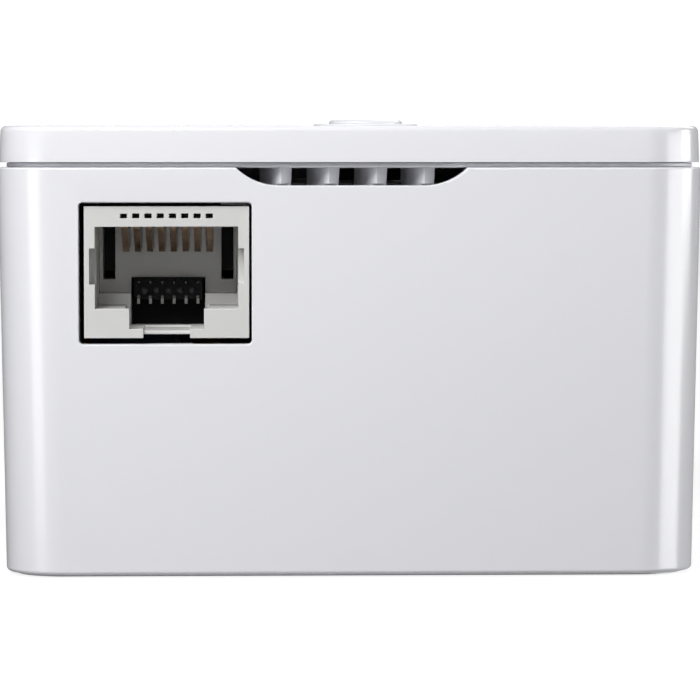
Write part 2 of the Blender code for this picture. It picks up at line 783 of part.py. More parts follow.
def make_light(name, x, materials):
    """A light guide behind its window in the lid, and the lamp under it."""
    stem, flange = pill(x, LIGHTS_Y, 2.0, 0.8), pill(x, LIGHTS_Y, 2.7, 1.5)
    guide = prism(f"light_guide_{name}", stem, "z", 34.2, COVER_TOP + 0.05, materials["clear"])
    join(guide, prism(f"guide_flange_{name}", flange, "z", 34.4, COVER_CEILING - 0.1))
    low = (x - 0.6, LIGHTS_Y - 1.0, SIGNAL_TOP)
    high = (x + 0.6, LIGHTS_Y + 1.0, SIGNAL_TOP + 0.8)
    box(f"led_{name}", low, high, materials["led"])


# Boards and what is on them

def make_boards(materials):
    main = box(
        "main_board",
        (-25.3, -30.8, MAIN_BOARD_Z),
        (25.3, 30.8, MAIN_BOARD_Z + BOARD_T),
        materials["board"],
    )
    for name, side in SIDES:
        place = (side * 20.0, 32.0)
        cut(main, rod(f"lead_notch_{name}", "z", place, 1.6, MAIN_BOARD_Z - 1, MAIN_BOARD_Z + 3))
    signal = box(
        "signal_board",
        (-24.2, -32.0, SIGNAL_BOARD_Z),
        (24.2, 32.0, SIGNAL_BOARD_Z + BOARD_T),
        materials["board"],
    )
    for sx in (-1, 1):
        for sy in (-1, 1):
            place = (sx * SCREW_X, sy * SCREW_Y)
            cut(signal, rod(f"boss_clearance_{sx}_{sy}", "z", place, 3.2, 30.0, 34.0))
    box("board_header", (20.6, -23.0, MAIN_TOP), (23.4, -7.5, SIGNAL_UNDER), materials["chip"])


def make_mains_parts(materials):
    """The mains side, standing on the main board: filter, rectifier and transformer."""
    base = MAIN_TOP
    box("fuse", (-5.2, 26.2, base), (5.2, 29.6, base + 3.4), materials["fuse"])
    box("bridge_rectifier", (11.5, 27.3, base), (18.5, 30.2, base + 6.0), materials["chip"])
    varistor = rod("varistor", "y", (-18.2, base + 5.2), 4.8, -4.2, -0.6, materials["disc"], steps=20)
    shade_round(varistor)
    box("line_filter_capacitor", (-24.2, 3.0, base), (-11.0, 9.4, base + 12.0), materials["film"])
    choke = (-17.4, 19.0, base + 7.2)
    shade_round(torus("choke_core", choke, 4.9, 2.0, materials["ferrite"]))
    for name, start in (("live", -60), ("neutral", 120)):
        winding = torus(f"choke_winding_{name}", choke, 4.9, 2.9, materials["copper"], start, 120, 2.12)
        shade_round(winding)
    bulk = rod("bulk_capacitor", "y", (18.0, base + 6.3), 6.2, 5.0, 25.0, materials["sleeve"], steps=24)
    shade_round(bulk)
    low, high = (-7.8, 8.0, base + 2.0), (7.8, 20.6, base + 14.4)
    transformer = box("transformer_core", low, high, materials["ferrite"])
    cut(transformer, box("core_window", (-5.6, 6.0, base + 4.6), (5.6, 22.0, base + 11.8)))
    low, high = (-5.3, 5.6, base + 4.9), (5.3, 23.0, base + 11.5)
    box("transformer_winding", low, high, materials["tape"])


def make_signal_parts(materials):
    """The low-voltage side, on the main board and under the signal board."""
    base, under = MAIN_TOP, SIGNAL_UNDER
    place, top = (6.0, -4.4), base + 12.0
    shade_round(rod("output_capacitor", "z", place, 4.0, base, top, materials["sleeve"], steps=20))
    box("coupling_transformer", (-9.5, -12.5, base), (-0.5, -3.5, base + 7.0), materials["ferrite"])
    place = (-18.5, base + 4.2)
    shade_round(rod("coupling_capacitor", "y", place, 3.9, -13.5, -10.3, materials["disc"], steps=20))
    box("lan_transformer", (-21.5, -24.8, under - 6.0), (-9.0, -15.2, under), materials["chip"])
    box("modem_chip", (3.0, -27.0, under - 1.2), (15.0, -15.0, under), materials["chip"])
    pad_top = under - 1.2 - SEAT
    box("thermal_pad", (3.0, -27.0, pad_top - 0.6), (15.0, -15.0, pad_top), materials["pad"])
    make_heat_sink((-1.0, -31.0), (19.0, -11.0), pad_top - 0.6 - SEAT, materials["aluminium"])
    box("memory_chip", (3.5, -9.5, under - 1.1), (11.5, -3.5, under), materials["chip"])
    box("crystal", (-7.5, -9.0, under - 1.2), (-2.5, -5.8, under), materials["steel"])


def make_heat_sink(low, high, top, surface):
    """A base plate with parallel fins hanging from it."""
    fin_count, fin_t, drop = 7, 0.9, 7.4
    sink = box("heat_sink", (*low, top - 1.5), (*high, top), surface)
    pitch = (high[0] - low[0] - fin_t) / (fin_count - 1)
    for i in range(fin_count):
        x = low[0] + i * pitch
        join(sink, box(f"fin_{i}", (x, low[1], top - drop), (x + fin_t, high[1], top - 1.0)))
    return sink


def torus(name, centre, ring_r, tube_r, surface, start=0.0, sweep=360.0, hole_r=0.0):
    """A ring about the Y axis, whole or part, of a square-shouldered section. A part ring
    with hole_r is hollow, so that a smaller ring passes through it."""
    full = sweep >= 360
    steps = 20 if full else 8
    sections = []
    for i in range(steps if full else steps + 1):
        angle = math.radians(start + sweep * i / steps)
        section = []
        for u, v in circle(0, 0, tube_r, 8):
            r = ring_r + u
            x, z = r * math.cos(angle), r * math.sin(angle)
            section.append((centre[0] + x, centre[1] + v, centre[2] + z))
        sections.append(section)
    made = loft(name, sections, surface, closed=full)
    if hole_r:
        cut(made, torus(f"{name}_core", centre, ring_r, hole_r, None))
    return made


def clear_scene():
    for obj in list(bpy.data.objects):
        bpy.data.objects.remove(obj)


def main():
    clear_scene()
    materials = make_materials()
    make_housing(materials["case"])
    make_frame(materials["frame"])
    make_cover(materials["case"])
    for number, (sx, sy) in enumerate(((-1, -1), (1, -1), (-1, 1), (1, 1)), start=1):
        make_screw(f"case_screw_{number}", (sx * SCREW_X, sy * SCREW_Y), materials["steel"])
    make_jack(materials["jack"])
    make_jack_insert(materials["dark"])
    for index in range(CONTACT_COUNT):
        make_contact(index, materials["gold"])
    make_well(materials["frame"])
    make_carrier(materials["dark"])
    for name, side in SIDES:
        make_blade(f"plug_blade_{name}", side, materials["nickel"])
        make_leaf(f"contact_leaf_{name}", side, materials["spring"])
        make_lead(f"mains_lead_{name}", side, materials["lead"])
    make_button(materials)
    for name, x in LIGHTS:
        make_light(name, x, materials)
    make_boards(materials)
    make_mains_parts(materials)
    make_signal_parts(materials)


main()
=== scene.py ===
# %% [markdown]
# # A powerline adapter, from its CAD frame to its finished look
#
# The adapter is a white moulded box that plugs straight into a wall outlet. One end holds a
# network socket and a shallow vent, the lid carries a pairing button and three small
# windows, and the mains plug folds into the back. The CAD frame already says where every
# piece is and what moves. This lesson builds the fine surfaces around it, cell by cell.

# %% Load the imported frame
import json
import math

import bmesh
import bpy
from mathutils import Matrix, Vector


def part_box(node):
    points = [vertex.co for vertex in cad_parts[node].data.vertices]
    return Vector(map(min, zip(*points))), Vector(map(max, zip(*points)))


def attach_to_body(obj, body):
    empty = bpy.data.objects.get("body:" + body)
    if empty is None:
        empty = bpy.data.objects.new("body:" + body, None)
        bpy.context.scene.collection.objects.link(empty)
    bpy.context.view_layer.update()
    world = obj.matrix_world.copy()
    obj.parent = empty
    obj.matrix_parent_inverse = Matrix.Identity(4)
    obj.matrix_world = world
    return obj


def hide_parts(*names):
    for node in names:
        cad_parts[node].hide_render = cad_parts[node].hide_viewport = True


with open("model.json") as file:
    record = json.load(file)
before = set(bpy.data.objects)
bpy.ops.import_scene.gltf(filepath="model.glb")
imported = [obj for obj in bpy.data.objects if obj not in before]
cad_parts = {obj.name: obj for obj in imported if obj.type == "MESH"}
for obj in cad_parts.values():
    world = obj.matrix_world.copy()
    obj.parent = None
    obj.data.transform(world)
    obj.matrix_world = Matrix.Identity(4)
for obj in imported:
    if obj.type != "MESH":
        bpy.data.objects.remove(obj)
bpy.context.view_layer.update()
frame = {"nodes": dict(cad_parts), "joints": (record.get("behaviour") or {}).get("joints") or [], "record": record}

MM = 0.001

# %% [markdown]
# Every piece goes where the frame says, so the first values are read from it: the case's
# half width and half length at the rim, the height of the rim, and how far a wall leans
# inwards between the rim and the back. The lean is real: a moulded box needs it to come
# out of its tool.

# %% Measure the case
HALF_W, HALF_L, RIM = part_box("rear_housing")[1]
COVER_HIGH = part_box("front_cover")[1]
CORNER_R = 5.0 * MM
WALL = 2.0 * MM
FLOOR = 2.2 * MM
FOOT_BAND = 1.0 * MM
foot = max(v.co.x for v in frame["nodes"]["rear_housing"].data.vertices if v.co.z < FOOT_BAND)
LEAN = HALF_W - foot
LID_LOW = min(v.co.z for v in frame["nodes"]["front_cover"].data.vertices if v.co.x > COVER_HIGH.x - MM)
print(f"half width {HALF_W / MM:.2f} mm at the rim, leaning in {LEAN / MM:.2f} mm to the back")
print(f"rim at {RIM / MM:.2f} mm, lid from {LID_LOW / MM:.2f} to {COVER_HIGH.z / MM:.2f} mm")

# %% [markdown]
# ## The camera
#
# The adapter is seen square-on from its socket end, from about a third of a metre, with a
# long lens. A long lens keeps the end wall nearly flat in the frame, yet the eye still sits
# a little above and to the left of the middle, which is why the socket's left wall and its
# floors can be seen. The camera is aimed with a track quaternion and needs no lens shift.

# %% Place the camera
EYE = Vector((-11.0 * MM, -HALF_L - 320 * MM, 35.6 * MM))
AIM = Vector((-0.18 * MM, -HALF_L, 18.99 * MM))
SENSOR = 36.0
VIEW_HALF = 29.09 * MM  # half of what the frame spans on the end wall

lens_data = bpy.data.cameras.new("square_on_lens")
lens_data.sensor_width = SENSOR
lens_data.lens = SENSOR / 2 * (AIM - EYE).length / VIEW_HALF
lens_data.clip_start = 0.01
lens_data.clip_end = 50
camera = bpy.data.objects.new("square_on_camera", lens_data)
bpy.context.scene.collection.objects.link(camera)
camera.location = EYE
camera.rotation_mode = "QUATERNION"
camera.rotation_quaternion = (AIM - EYE).to_track_quat("-Z", "Y")
bpy.context.scene.camera = camera
print(f"lens {lens_data.lens:.0f} mm")

# %% [markdown]
# ## Helpers for shapes
#
# Almost everything here is moulded, stamped or turned, so four builders are enough. A loft
# runs a skin through rings of points. A prism extrudes one outline. A lathe spins a
# profile. A carve takes cutters out of a piece with exact Booleans and keeps the result as
# a plain mesh, so that nothing is left to go wrong later.

# %% Build a loft, a prism and a lathe
def piece_from(name, bm):
    bmesh.ops.recalc_face_normals(bm, faces=bm.faces)
    mesh = bpy.data.meshes.new(name)
    bm.to_mesh(mesh)
    bm.free()
    piece = bpy.data.objects.new(name, mesh)
    bpy.context.scene.collection.objects.link(piece)
    return piece


def loft(name, rings, closed=False):
    """A skin through rings of points, capped at both ends, or closed on itself."""
    bm = bmesh.new()
    rows = [[bm.verts.new(point) for point in ring] for ring in rings]
    pairs = list(zip(rows, rows[1:]))
    if closed:
        pairs.append((rows[-1], rows[0]))
    count = len(rows[0])
    for lower, upper in pairs:
        for i in range(count):
            j = (i + 1) % count
            bm.faces.new((lower[i], lower[j], upper[j], upper[i]))
    if not closed:
        bm.faces.new(rows[0][::-1])
        bm.faces.new(rows[-1])
    return piece_from(name, bm)


def prism(name, outline, axis, low, high):
    """An outline of (u, v) pairs, extruded along x, y or z."""
    put = {
        "x": lambda u, v, w: (w, u, v),
        "y": lambda u, v, w: (u, w, v),
        "z": lambda u, v, w: (u, v, w),
    }[axis]
    return loft(name, [[put(u, v, w) for u, v in outline] for w in (low, high)])


def circle(centre, radius, steps):
    turns = [2 * math.pi * i / steps for i in range(steps)]
    return [(centre[0] + radius * math.cos(turn), centre[1] + radius * math.sin(turn)) for turn in turns]


def block(name, low, high):
    outline = [(low[0], low[1]), (high[0], low[1]), (high[0], high[1]), (low[0], high[1])]
    return prism(name, outline, "z", low[2], high[2])


def lathe(name, place, profile, steps=48, axis="z"):
    """A turned piece: (radius, height) pairs that start and end on the axis or close on it."""
    solid = profile[0][0] == 0
    inner = [pair for pair in profile if pair[0] > 0]
    bm = bmesh.new()
    rows = []
    for i in range(steps):
        angle = 2 * math.pi * i / steps
        across = (math.cos(angle), math.sin(angle))
        rows.append([bm.verts.new((r * across[0], r * across[1], z)) for r, z in inner])
    tips = [bm.verts.new((0, 0, profile[end][1])) for end in (0, -1)] if solid else []
    for i in range(steps):
        a, b = rows[i], rows[(i + 1) % steps]
        for k in range(len(inner) - 1):
            bm.faces.new((a[k], b[k], b[k + 1], a[k + 1]))
        if solid:
            bm.faces.new((tips[0], b[0], a[0]))
            bm.faces.new((tips[1], a[-1], b[-1]))
        else:
            bm.faces.new((a[-1], b[-1], b[0], a[0]))
    turn = {"z": Matrix(), "y": Matrix.Rotation(-math.pi / 2, 4, "X")}
    bmesh.ops.transform(bm, matrix=Matrix.Translation(place) @ turn[axis], verts=bm.verts)
    return piece_from(name, bm)


# %% Carve, join and ease edges
def settle(piece):
    """Keeps a piece as its modifiers leave it, and drops the modifiers."""
    graph = bpy.context.evaluated_depsgraph_get()
    graph.update()
    mesh = bpy.data.meshes.new_from_object(piece.evaluated_get(graph))
    piece.modifiers.clear()
    rough, piece.data = piece.data, mesh
    bpy.data.meshes.remove(rough)
    return piece


def carve(piece, *cutters, operation="DIFFERENCE"):
    for cutter in cutters:
        step = piece.modifiers.new("carve", "BOOLEAN")
        step.operation = operation
        step.object = cutter
    settle(piece)
    for cutter in cutters:
        bpy.data.objects.remove(cutter)
    return piece


def join(piece, *others):
    return carve(piece, *others, operation="UNION")


FINE_EDGE = 0.05 * MM


def ease(piece, width, segments=2, angle=60):
    """Rounds every edge sharper than the angle, as a mould or a tumbler does."""
    edge = piece.modifiers.new("eased_edges", "BEVEL")
    edge.width = width
    edge.segments = segments
    edge.limit_method = "ANGLE"
    edge.angle_limit = math.radians(angle)
    edge.use_clamp_overlap = False
    edge.miter_outer = "MITER_ARC"
    return settle(piece)


def smooth(piece, angle=50):
    """Smooth shading that stays flat on flats: sharp corners stay, and big faces win."""
    piece.data.shade_smooth()
    piece.data.set_sharp_from_angle(angle=math.radians(angle))
    steady = piece.modifiers.new("steady_normals", "WEIGHTED_NORMAL")
    steady.keep_sharp = True
    steady.weight = 100
    return piece


# %% [markdown]
# ## Node groups that several finishes share
#
# A moulded plastic is never one flat colour. The melt cools unevenly, so its tone and gloss
# drift a little over centimetres, and the tool's surface leaves a grain far finer than a
# millimetre. One group makes both, and each plastic places it with its own values.

# %% Make the moulded grain group
def start_group(name, inputs, outputs):
    group = bpy.data.node_groups.new(name, "ShaderNodeTree")
    for label, kind, value in inputs:
        socket = group.interface.new_socket(name=label, in_out="INPUT", socket_type=kind)
        socket.default_value = value
    for label, kind in outputs:
        group.interface.new_socket(name=label, in_out="OUTPUT", socket_type=kind)
    return group, group.nodes.new("NodeGroupInput"), group.nodes.new("NodeGroupOutput")


def add(tree, kind, **settings):
    node = tree.nodes.new(kind)
    for key, value in settings.items():
        setattr(node, key, value)
    return node


def maths(tree, operation, first, second=None, clamp=False):
    """A Math node, with each input either a socket or a number."""
    node = add(tree, "ShaderNodeMath", operation=operation, use_clamp=clamp)
    for index, value in enumerate((first, second)):
        if value is None:
            continue
        if isinstance(value, (int, float)):
            node.inputs[index].default_value = value
        else:
            tree.links.new(value, node.inputs[index])
    return node.outputs[0]


def feed(tree, node, **values):
    """Fills a node's inputs by name, each from a socket or with a plain value."""
    for label, value in values.items():
        target = node.inputs[label.replace("_", " ")]
        if isinstance(value, bpy.types.NodeSocket):
            tree.links.new(value, target)
        else:
            target.default_value = value
    return node


def object_place(tree):
    return add(tree, "ShaderNodeTexCoord").outputs["Object"]


def surface_normal(tree):
    return add(tree, "ShaderNodeNewGeometry").outputs["Normal"]


def upwards(tree):
    """How far the surface faces up, from -1 to 1."""
    return feed(tree, add(tree, "ShaderNodeSeparateXYZ"), Vector=surface_normal(tree)).outputs["Z"]


def noise(tree, where, scale, detail=3.0, roughness=0.5, stretch=(1, 1, 1)):
    spread = feed(tree, add(tree, "ShaderNodeMapping"), Scale=stretch, Vector=where).outputs["Vector"]
    node = add(tree, "ShaderNodeTexNoise")
    return feed(tree, node, Vector=spread, Scale=scale, Detail=detail, Roughness=roughness).outputs["Fac"]


def tint(tree, colour, factor, other):
    """Mixes a colour with another one; each, and the factor, is a socket or a value."""
    node = add(tree, "ShaderNodeMix", data_type="RGBA", blend_type="MIX")
    for index, value in ((0, factor), (6, colour), (7, other)):
        if isinstance(value, bpy.types.NodeSocket):
            tree.links.new(value, node.inputs[index])
        else:
            node.inputs[index].default_value = (*value, 1)
    return node.outputs[2]


def make_moulded_grain():
    group, given, result = start_group(
        "moulded_grain",
        [
            ("Colour", "NodeSocketColor", (0.8, 0.8, 0.8, 1)),
            ("Shade", "NodeSocketColor", (0.7, 0.7, 0.7, 1)),
            ("Drift", "NodeSocketFloat", 0.3),
            ("Roughness", "NodeSocketFloat", 0.3),
            ("Gloss drift", "NodeSocketFloat", 0.06),
            ("Grain scale", "NodeSocketFloat", 9000.0),
        ],
        [("Colour", "NodeSocketColor"), ("Roughness", "NodeSocketFloat"), ("Height", "NodeSocketFloat")],
    )
    where = object_place(group)
    flow = noise(group, where, 45.0, detail=2.0)
    speck = noise(group, where, 1500.0, detail=4.0, roughness=0.6)
    grain = noise(group, where, given.outputs["Grain scale"], detail=2.0)
    drifted = maths(group, "MULTIPLY", flow, given.outputs["Drift"], clamp=True)
    colour = tint(group, given.outputs["Colour"], drifted, given.outputs["Shade"])
    mottle = maths(group, "ADD", flow, maths(group, "MULTIPLY", speck, 0.5))
    swing = maths(group, "MULTIPLY", maths(group, "SUBTRACT", mottle, 0.75), given.outputs["Gloss drift"])
    rough = maths(group, "ADD", given.outputs["Roughness"], swing, clamp=True)
    height = maths(group, "ADD", grain, maths(group, "MULTIPLY", speck, 0.4))
    feed(group, result, Colour=colour, Roughness=rough, Height=height)
    return group


MOULDED_GRAIN = make_moulded_grain()
print("group made:", MOULDED_GRAIN.name)

# %% [markdown]
# Handled edges polish and recesses collect dust, and the finishes also lighten every edge as a
# painted highlight. A Bevel node bends the surface's direction near an edge, and the more it
# differs from the true one, the closer the edge is. That works however large the faces are.
# Dust settles where a surface faces up, in patches.

# %% Make the rubbed edge and highlight group and the settled dust group
# the edge mask marks rubbed edges, and the finishes also use it for a painted highlight
def make_rubbed_edge_and_highlight():
    group, given, result = start_group(
        "rubbed_edge",
        [("Radius", "NodeSocketFloat", 0.0002), ("Amount", "NodeSocketFloat", 0.5)],
        [("Mask", "NodeSocketFloat")],
    )
    rounded = feed(group, add(group, "ShaderNodeBevel", samples=4), Radius=given.outputs["Radius"])
    alike = add(group, "ShaderNodeVectorMath", operation="DOT_PRODUCT")
    group.links.new(rounded.outputs["Normal"], alike.inputs[0])
    group.links.new(surface_normal(group), alike.inputs[1])
    bent = maths(group, "SUBTRACT", 1.0, alike.outputs["Value"])
    near = maths(group, "MULTIPLY", bent, 5.0, clamp=True)
    broken = maths(group, "MULTIPLY", near, noise(group, object_place(group), 700.0, detail=4.0))
    feed(group, result, Mask=maths(group, "MULTIPLY", broken, given.outputs["Amount"], clamp=True))
    return group


def make_settled_dust():
    group, given, result = start_group(
        "settled_dust",
        [("Amount", "NodeSocketFloat", 0.1), ("Patch scale", "NodeSocketFloat", 220.0)],
        [("Mask", "NodeSocketFloat")],
    )
    up = maths(group, "MULTIPLY", upwards(group), 1.0, clamp=True)
    patches = noise(group, object_place(group), given.outputs["Patch scale"], detail=6.0, roughness=0.7)
    patchy = maths(group, "MULTIPLY", maths(group, "SUBTRACT", patches, 0.45), 4.0, clamp=True)
    film = maths(group, "MULTIPLY", up, patchy)
    feed(group, result, Mask=maths(group, "MULTIPLY", film, given.outputs["Amount"], clamp=True))
    return group


RUBBED_EDGE_AND_HIGHLIGHT = make_rubbed_edge_and_highlight()
SETTLED_DUST = make_settled_dust()
print("groups made:", RUBBED_EDGE_AND_HIGHLIGHT.name, "and", SETTLED_DUST.name)

# %% [markdown]
# Drawn wire, rolled strip and turned screws all carry fine lines along the way they were
# worked. A noise that is stretched hard along one axis gives those lines, and the same
# values dull the metal slightly where they run deep.

# %% Make the working marks group
def make_working_marks():
    group, given, result = start_group(
        "working_marks",
        [
            ("Colour", "NodeSocketColor", (0.7, 0.7, 0.7, 1)),
            ("Tarnish", "NodeSocketColor", (0.3, 0.25, 0.2, 1)),
            ("Tarnish amount", "NodeSocketFloat", 0.25),
            ("Roughness", "NodeSocketFloat", 0.25),
            ("Line scale", "NodeSocketFloat", 400.0),
        ],
        [("Colour", "NodeSocketColor"), ("Roughness", "NodeSocketFloat"), ("Height", "NodeSocketFloat")],
    )
    where = object_place(group)
    lines = noise(group, where, given.outputs["Line scale"], detail=3.0, stretch=(12, 1, 12))
    stain = noise(group, where, 260.0, detail=5.0, roughness=0.65)
    spots = maths(group, "MULTIPLY", maths(group, "SUBTRACT", stain, 0.4), 3.0, clamp=True)
    stained = maths(group, "MULTIPLY", spots, given.outputs["Tarnish amount"], clamp=True)
    colour = tint(group, given.outputs["Colour"], stained, given.outputs["Tarnish"])
    dulled = maths(group, "ADD", given.outputs["Roughness"], maths(group, "MULTIPLY", stained, 0.5))
    lined = maths(group, "MULTIPLY", maths(group, "SUBTRACT", lines, 0.5), 0.15)
    rough = maths(group, "ADD", dulled, lined, clamp=True)
    feed(group, result, Colour=colour, Roughness=rough, Height=lines)
    return group


WORKING_MARKS = make_working_marks()
print("groups:", [group.name for group in bpy.data.node_groups])

# %% [markdown]
# ## The finishes
#
# Each finish is a Principled shader that stays in its own material, with the shared groups
# feeding its colour, roughness and bump. Values that are the same all over, such as the
# coat or the metallic value, sit on the shader's own sockets.

# %% Make plastics
def start_material(name):
    made = bpy.data.materials.new(name)
    made.use_nodes = True
    tree = made.node_tree
    return made, tree, tree.nodes["Principled BSDF"]


def place_group(tree, group, **values):
    return feed(tree, add(tree, "ShaderNodeGroup", node_tree=group), **values).outputs


def bump_from(tree, shader, height, distance):
    bump = feed(tree, add(tree, "ShaderNodeBump"), Strength=1.0, Distance=distance, Height=height)
    feed(tree, shader, Normal=bump.outputs["Normal"])


DUST_COLOUR = (0.62, 0.60, 0.57)


def plastic(
    name, colour, shade, roughness, grain=9000.0, depth=0.004,
    drift=0.3, coat=0.0, dust=0.06, edge=0.35, shine=0.5,
):
    """A moulded plastic: drift and grain from the shared group, dust on top, edges rubbed and given a painted
    highlight.
    """
    made, tree, shader = start_material(name)
    skin = place_group(
        tree, MOULDED_GRAIN, Colour=(*colour, 1), Shade=(*shade, 1), Drift=drift,
        Roughness=roughness, Gloss_drift=0.08, Grain_scale=grain,
    )
    # edges turn paler: partly rubbing, partly a painted highlight for light caught on each edge
    rubbed_and_highlight = place_group(tree, RUBBED_EDGE_AND_HIGHLIGHT, Amount=edge)
    edge_highlight_colour = [min(0.95, c * 1.15 + 0.02) for c in colour]
    lit = tint(tree, skin["Colour"], rubbed_and_highlight["Mask"], edge_highlight_colour)
    film = place_group(tree, SETTLED_DUST, Amount=dust)
    feed(
        tree, shader,
        Base_Color=tint(tree, lit, film["Mask"], DUST_COLOUR),
        Roughness=maths(tree, "ADD", skin["Roughness"], film["Mask"], clamp=True),
        Specular_IOR_Level=shine, Coat_Weight=coat, Coat_Roughness=0.12,
    )
    bump_from(tree, shader, skin["Height"], depth * MM)
    return made


def metal(name, colour, tarnish, roughness, stain=0.25, lines=400.0, depth=0.004):
    """A worked metal with lines along its length and a little tarnish."""
    made, tree, shader = start_material(name)
    marks = place_group(
        tree, WORKING_MARKS, Colour=(*colour, 1), Tarnish=(*tarnish, 1),
        Tarnish_amount=stain, Roughness=roughness, Line_scale=lines,
    )
    # edges lighter through the same mask: rubbed plating, and a painted highlight along each edge
    edge = place_group(tree, RUBBED_EDGE_AND_HIGHLIGHT, Amount=0.5)
    bright = tint(tree, marks["Colour"], edge["Mask"], [min(1, c * 1.2) for c in colour])
    feed(tree, shader, Base_Color=bright, Roughness=marks["Roughness"], Metallic=1.0)
    bump_from(tree, shader, marks["Height"], depth * MM)
    return made


FINISH = {
    # the shell's edges are lightened strongly: a painted highlight, a bright line along every edge and round the
    # openings
    "case_white": plastic(
        "glossy_white_shell", (0.80, 0.80, 0.835), (0.77, 0.77, 0.81),
        0.24, coat=0.15, dust=0.02, edge=0.9,
    ),
    "frame_white": plastic(
        "satin_white_frame", (0.78, 0.78, 0.81), (0.73, 0.73, 0.77),
        0.42, grain=5000.0, dust=0.05,
    ),
    "jack_grey": plastic(
        "pale_grey_socket", (0.63, 0.63, 0.62), (0.57, 0.57, 0.56),
        0.46, grain=6000.0, depth=0.006,
    ),
    "moulding_black": plastic(
        "black_moulding", (0.006, 0.006, 0.007), (0.010, 0.010, 0.012),
        0.6, grain=5000.0, depth=0.006, dust=0.02, edge=0.1, shine=0.15,
    ),
    "chip_black": plastic(
        "epoxy_black", (0.022, 0.022, 0.025), (0.035, 0.035, 0.037),
        0.55, grain=4000.0, depth=0.012,
    ),
    "film_box_yellow": plastic("yellow_film_box", (0.78, 0.56, 0.06), (0.68, 0.46, 0.05), 0.38),
    "disc_blue": plastic(
        "dipped_blue_epoxy", (0.03, 0.13, 0.42), (0.02, 0.09, 0.33),
        0.3, grain=2500.0, depth=0.02,
    ),
    "fuse_ceramic": plastic("glazed_ceramic", (0.74, 0.70, 0.60), (0.66, 0.61, 0.52), 0.3, grain=3500.0),
    "lead_insulation": plastic("red_wire_sleeve", (0.46, 0.03, 0.025), (0.36, 0.02, 0.02), 0.4),
    "capacitor_sleeve": plastic(
        "shrunk_navy_sleeve", (0.02, 0.035, 0.10), (0.03, 0.05, 0.14),
        0.33, grain=2500.0, depth=0.01,
    ),
    "thermal_pad_grey": plastic(
        "soft_silicone_pad", (0.36, 0.42, 0.52), (0.30, 0.36, 0.46),
        0.85, grain=3000.0, depth=0.02,
    ),
    "led_resin": plastic("phosphor_resin", (0.86, 0.80, 0.42), (0.78, 0.70, 0.32), 0.3),
    "winding_tape": plastic(
        "polyester_tape", (0.80, 0.55, 0.06), (0.70, 0.46, 0.04),
        0.3, grain=1800.0, depth=0.03, coat=0.4,
    ),
    "ferrite_grey": plastic(
        "sintered_ferrite", (0.07, 0.07, 0.075), (0.10, 0.10, 0.11),
        0.7, grain=3500.0, depth=0.03, drift=0.8,
    ),
    # the contacts' gold is dark and brown with heavy tarnish: partly tarnish, partly painted shade for wires deep
    # under the socket's roof
    "contact_gold": metal("gold_plated_wire", (0.50, 0.35, 0.23), (0.12, 0.07, 0.04), 0.3, stain=0.75),
    "blade_nickel": metal("nickel_plated_blade", (0.70, 0.68, 0.63), (0.42, 0.38, 0.31), 0.2, stain=0.2),
    "pin_tin": metal("dull_tinned_pin", (0.26, 0.26, 0.25), (0.14, 0.13, 0.12), 0.4),
    "screw_steel": metal("zinc_plated_steel", (0.50, 0.50, 0.50), (0.30, 0.28, 0.24), 0.32),
    "spring_bronze": metal("bare_spring_bronze", (0.72, 0.46, 0.26), (0.34, 0.18, 0.09), 0.3, stain=0.4),
    "copper_wire": metal("enamelled_copper", (0.72, 0.29, 0.12), (0.36, 0.11, 0.04), 0.26, lines=900.0),
    "sink_aluminium": metal(
        "extruded_aluminium", (0.72, 0.73, 0.75), (0.50, 0.51, 0.53),
        0.34, lines=700.0, depth=0.01,
    ),
}
print(len(FINISH), "finishes so far")

# %% [markdown]
# Two finishes need their own recipe. The circuit boards are woven glass under green
# lacquer, with copper tracks that lift it slightly: a brick pattern turned into thin lines
# stands for the tracks. The sawn edges are painted near black, a painted shade that keeps
# the board's edge dark where it shows behind the vent. The light guides are clear
# plastic, which passes light, so their metallic and transmission values stay plain numbers.

# %% Make the board lacquer and the clear guide
BLACK, WHITE = (0, 0, 0, 1), (1, 1, 1, 1)
# near black for the boards' sawn edges: a painted shade that keeps them dark behind the vent
PAINTED_SHADE_EDGES = (0.012, 0.010, 0.007)


def board_lacquer():
    made, tree, shader = start_material("green_board_lacquer")
    where = object_place(tree)
    spread = feed(tree, add(tree, "ShaderNodeMapping"), Scale=(260, 260, 260), Vector=where)
    tracks = feed(
        tree, add(tree, "ShaderNodeTexBrick", offset=0.37, squash=0.6, squash_frequency=3),
        Vector=spread.outputs["Vector"], Color1=BLACK, Color2=BLACK, Mortar=WHITE,
        Mortar_Size=0.06, Brick_Width=0.9, Row_Height=0.35,
    ).outputs["Color"]
    weave = noise(tree, where, 2600.0, detail=1.0)
    base = tint(tree, (0.012, 0.10, 0.035), weave, (0.02, 0.14, 0.05))
    tracked = tint(tree, base, tracks, (0.05, 0.26, 0.10))
    flat = maths(tree, "ABSOLUTE", upwards(tree))
    rough = maths(tree, "ADD", maths(tree, "MULTIPLY", weave, 0.12), 0.24)
    # upright faces, the sawn edges, take the near-black painted shade
    feed(tree, shader, Base_Color=tint(tree, PAINTED_SHADE_EDGES, flat, tracked), Roughness=rough, Coat_Weight=0.3)
    raised = maths(tree, "ADD", tracks, maths(tree, "MULTIPLY", weave, 0.3))
    bump_from(tree, shader, raised, 0.03 * MM)
    return made


def clear_guide():
    made, tree, shader = start_material("frosted_light_guide")
    skin = place_group(
        tree, MOULDED_GRAIN, Colour=(0.86, 0.89, 0.91, 1), Shade=(0.80, 0.84, 0.88, 1),
        Roughness=0.22, Gloss_drift=0.1, Grain_scale=7000.0,
    )
    feed(
        tree, shader, Base_Color=skin["Colour"], Roughness=skin["Roughness"],
        Transmission_Weight=0.45, IOR=1.49,
    )
    bump_from(tree, shader, skin["Height"], 0.004 * MM)
    return made


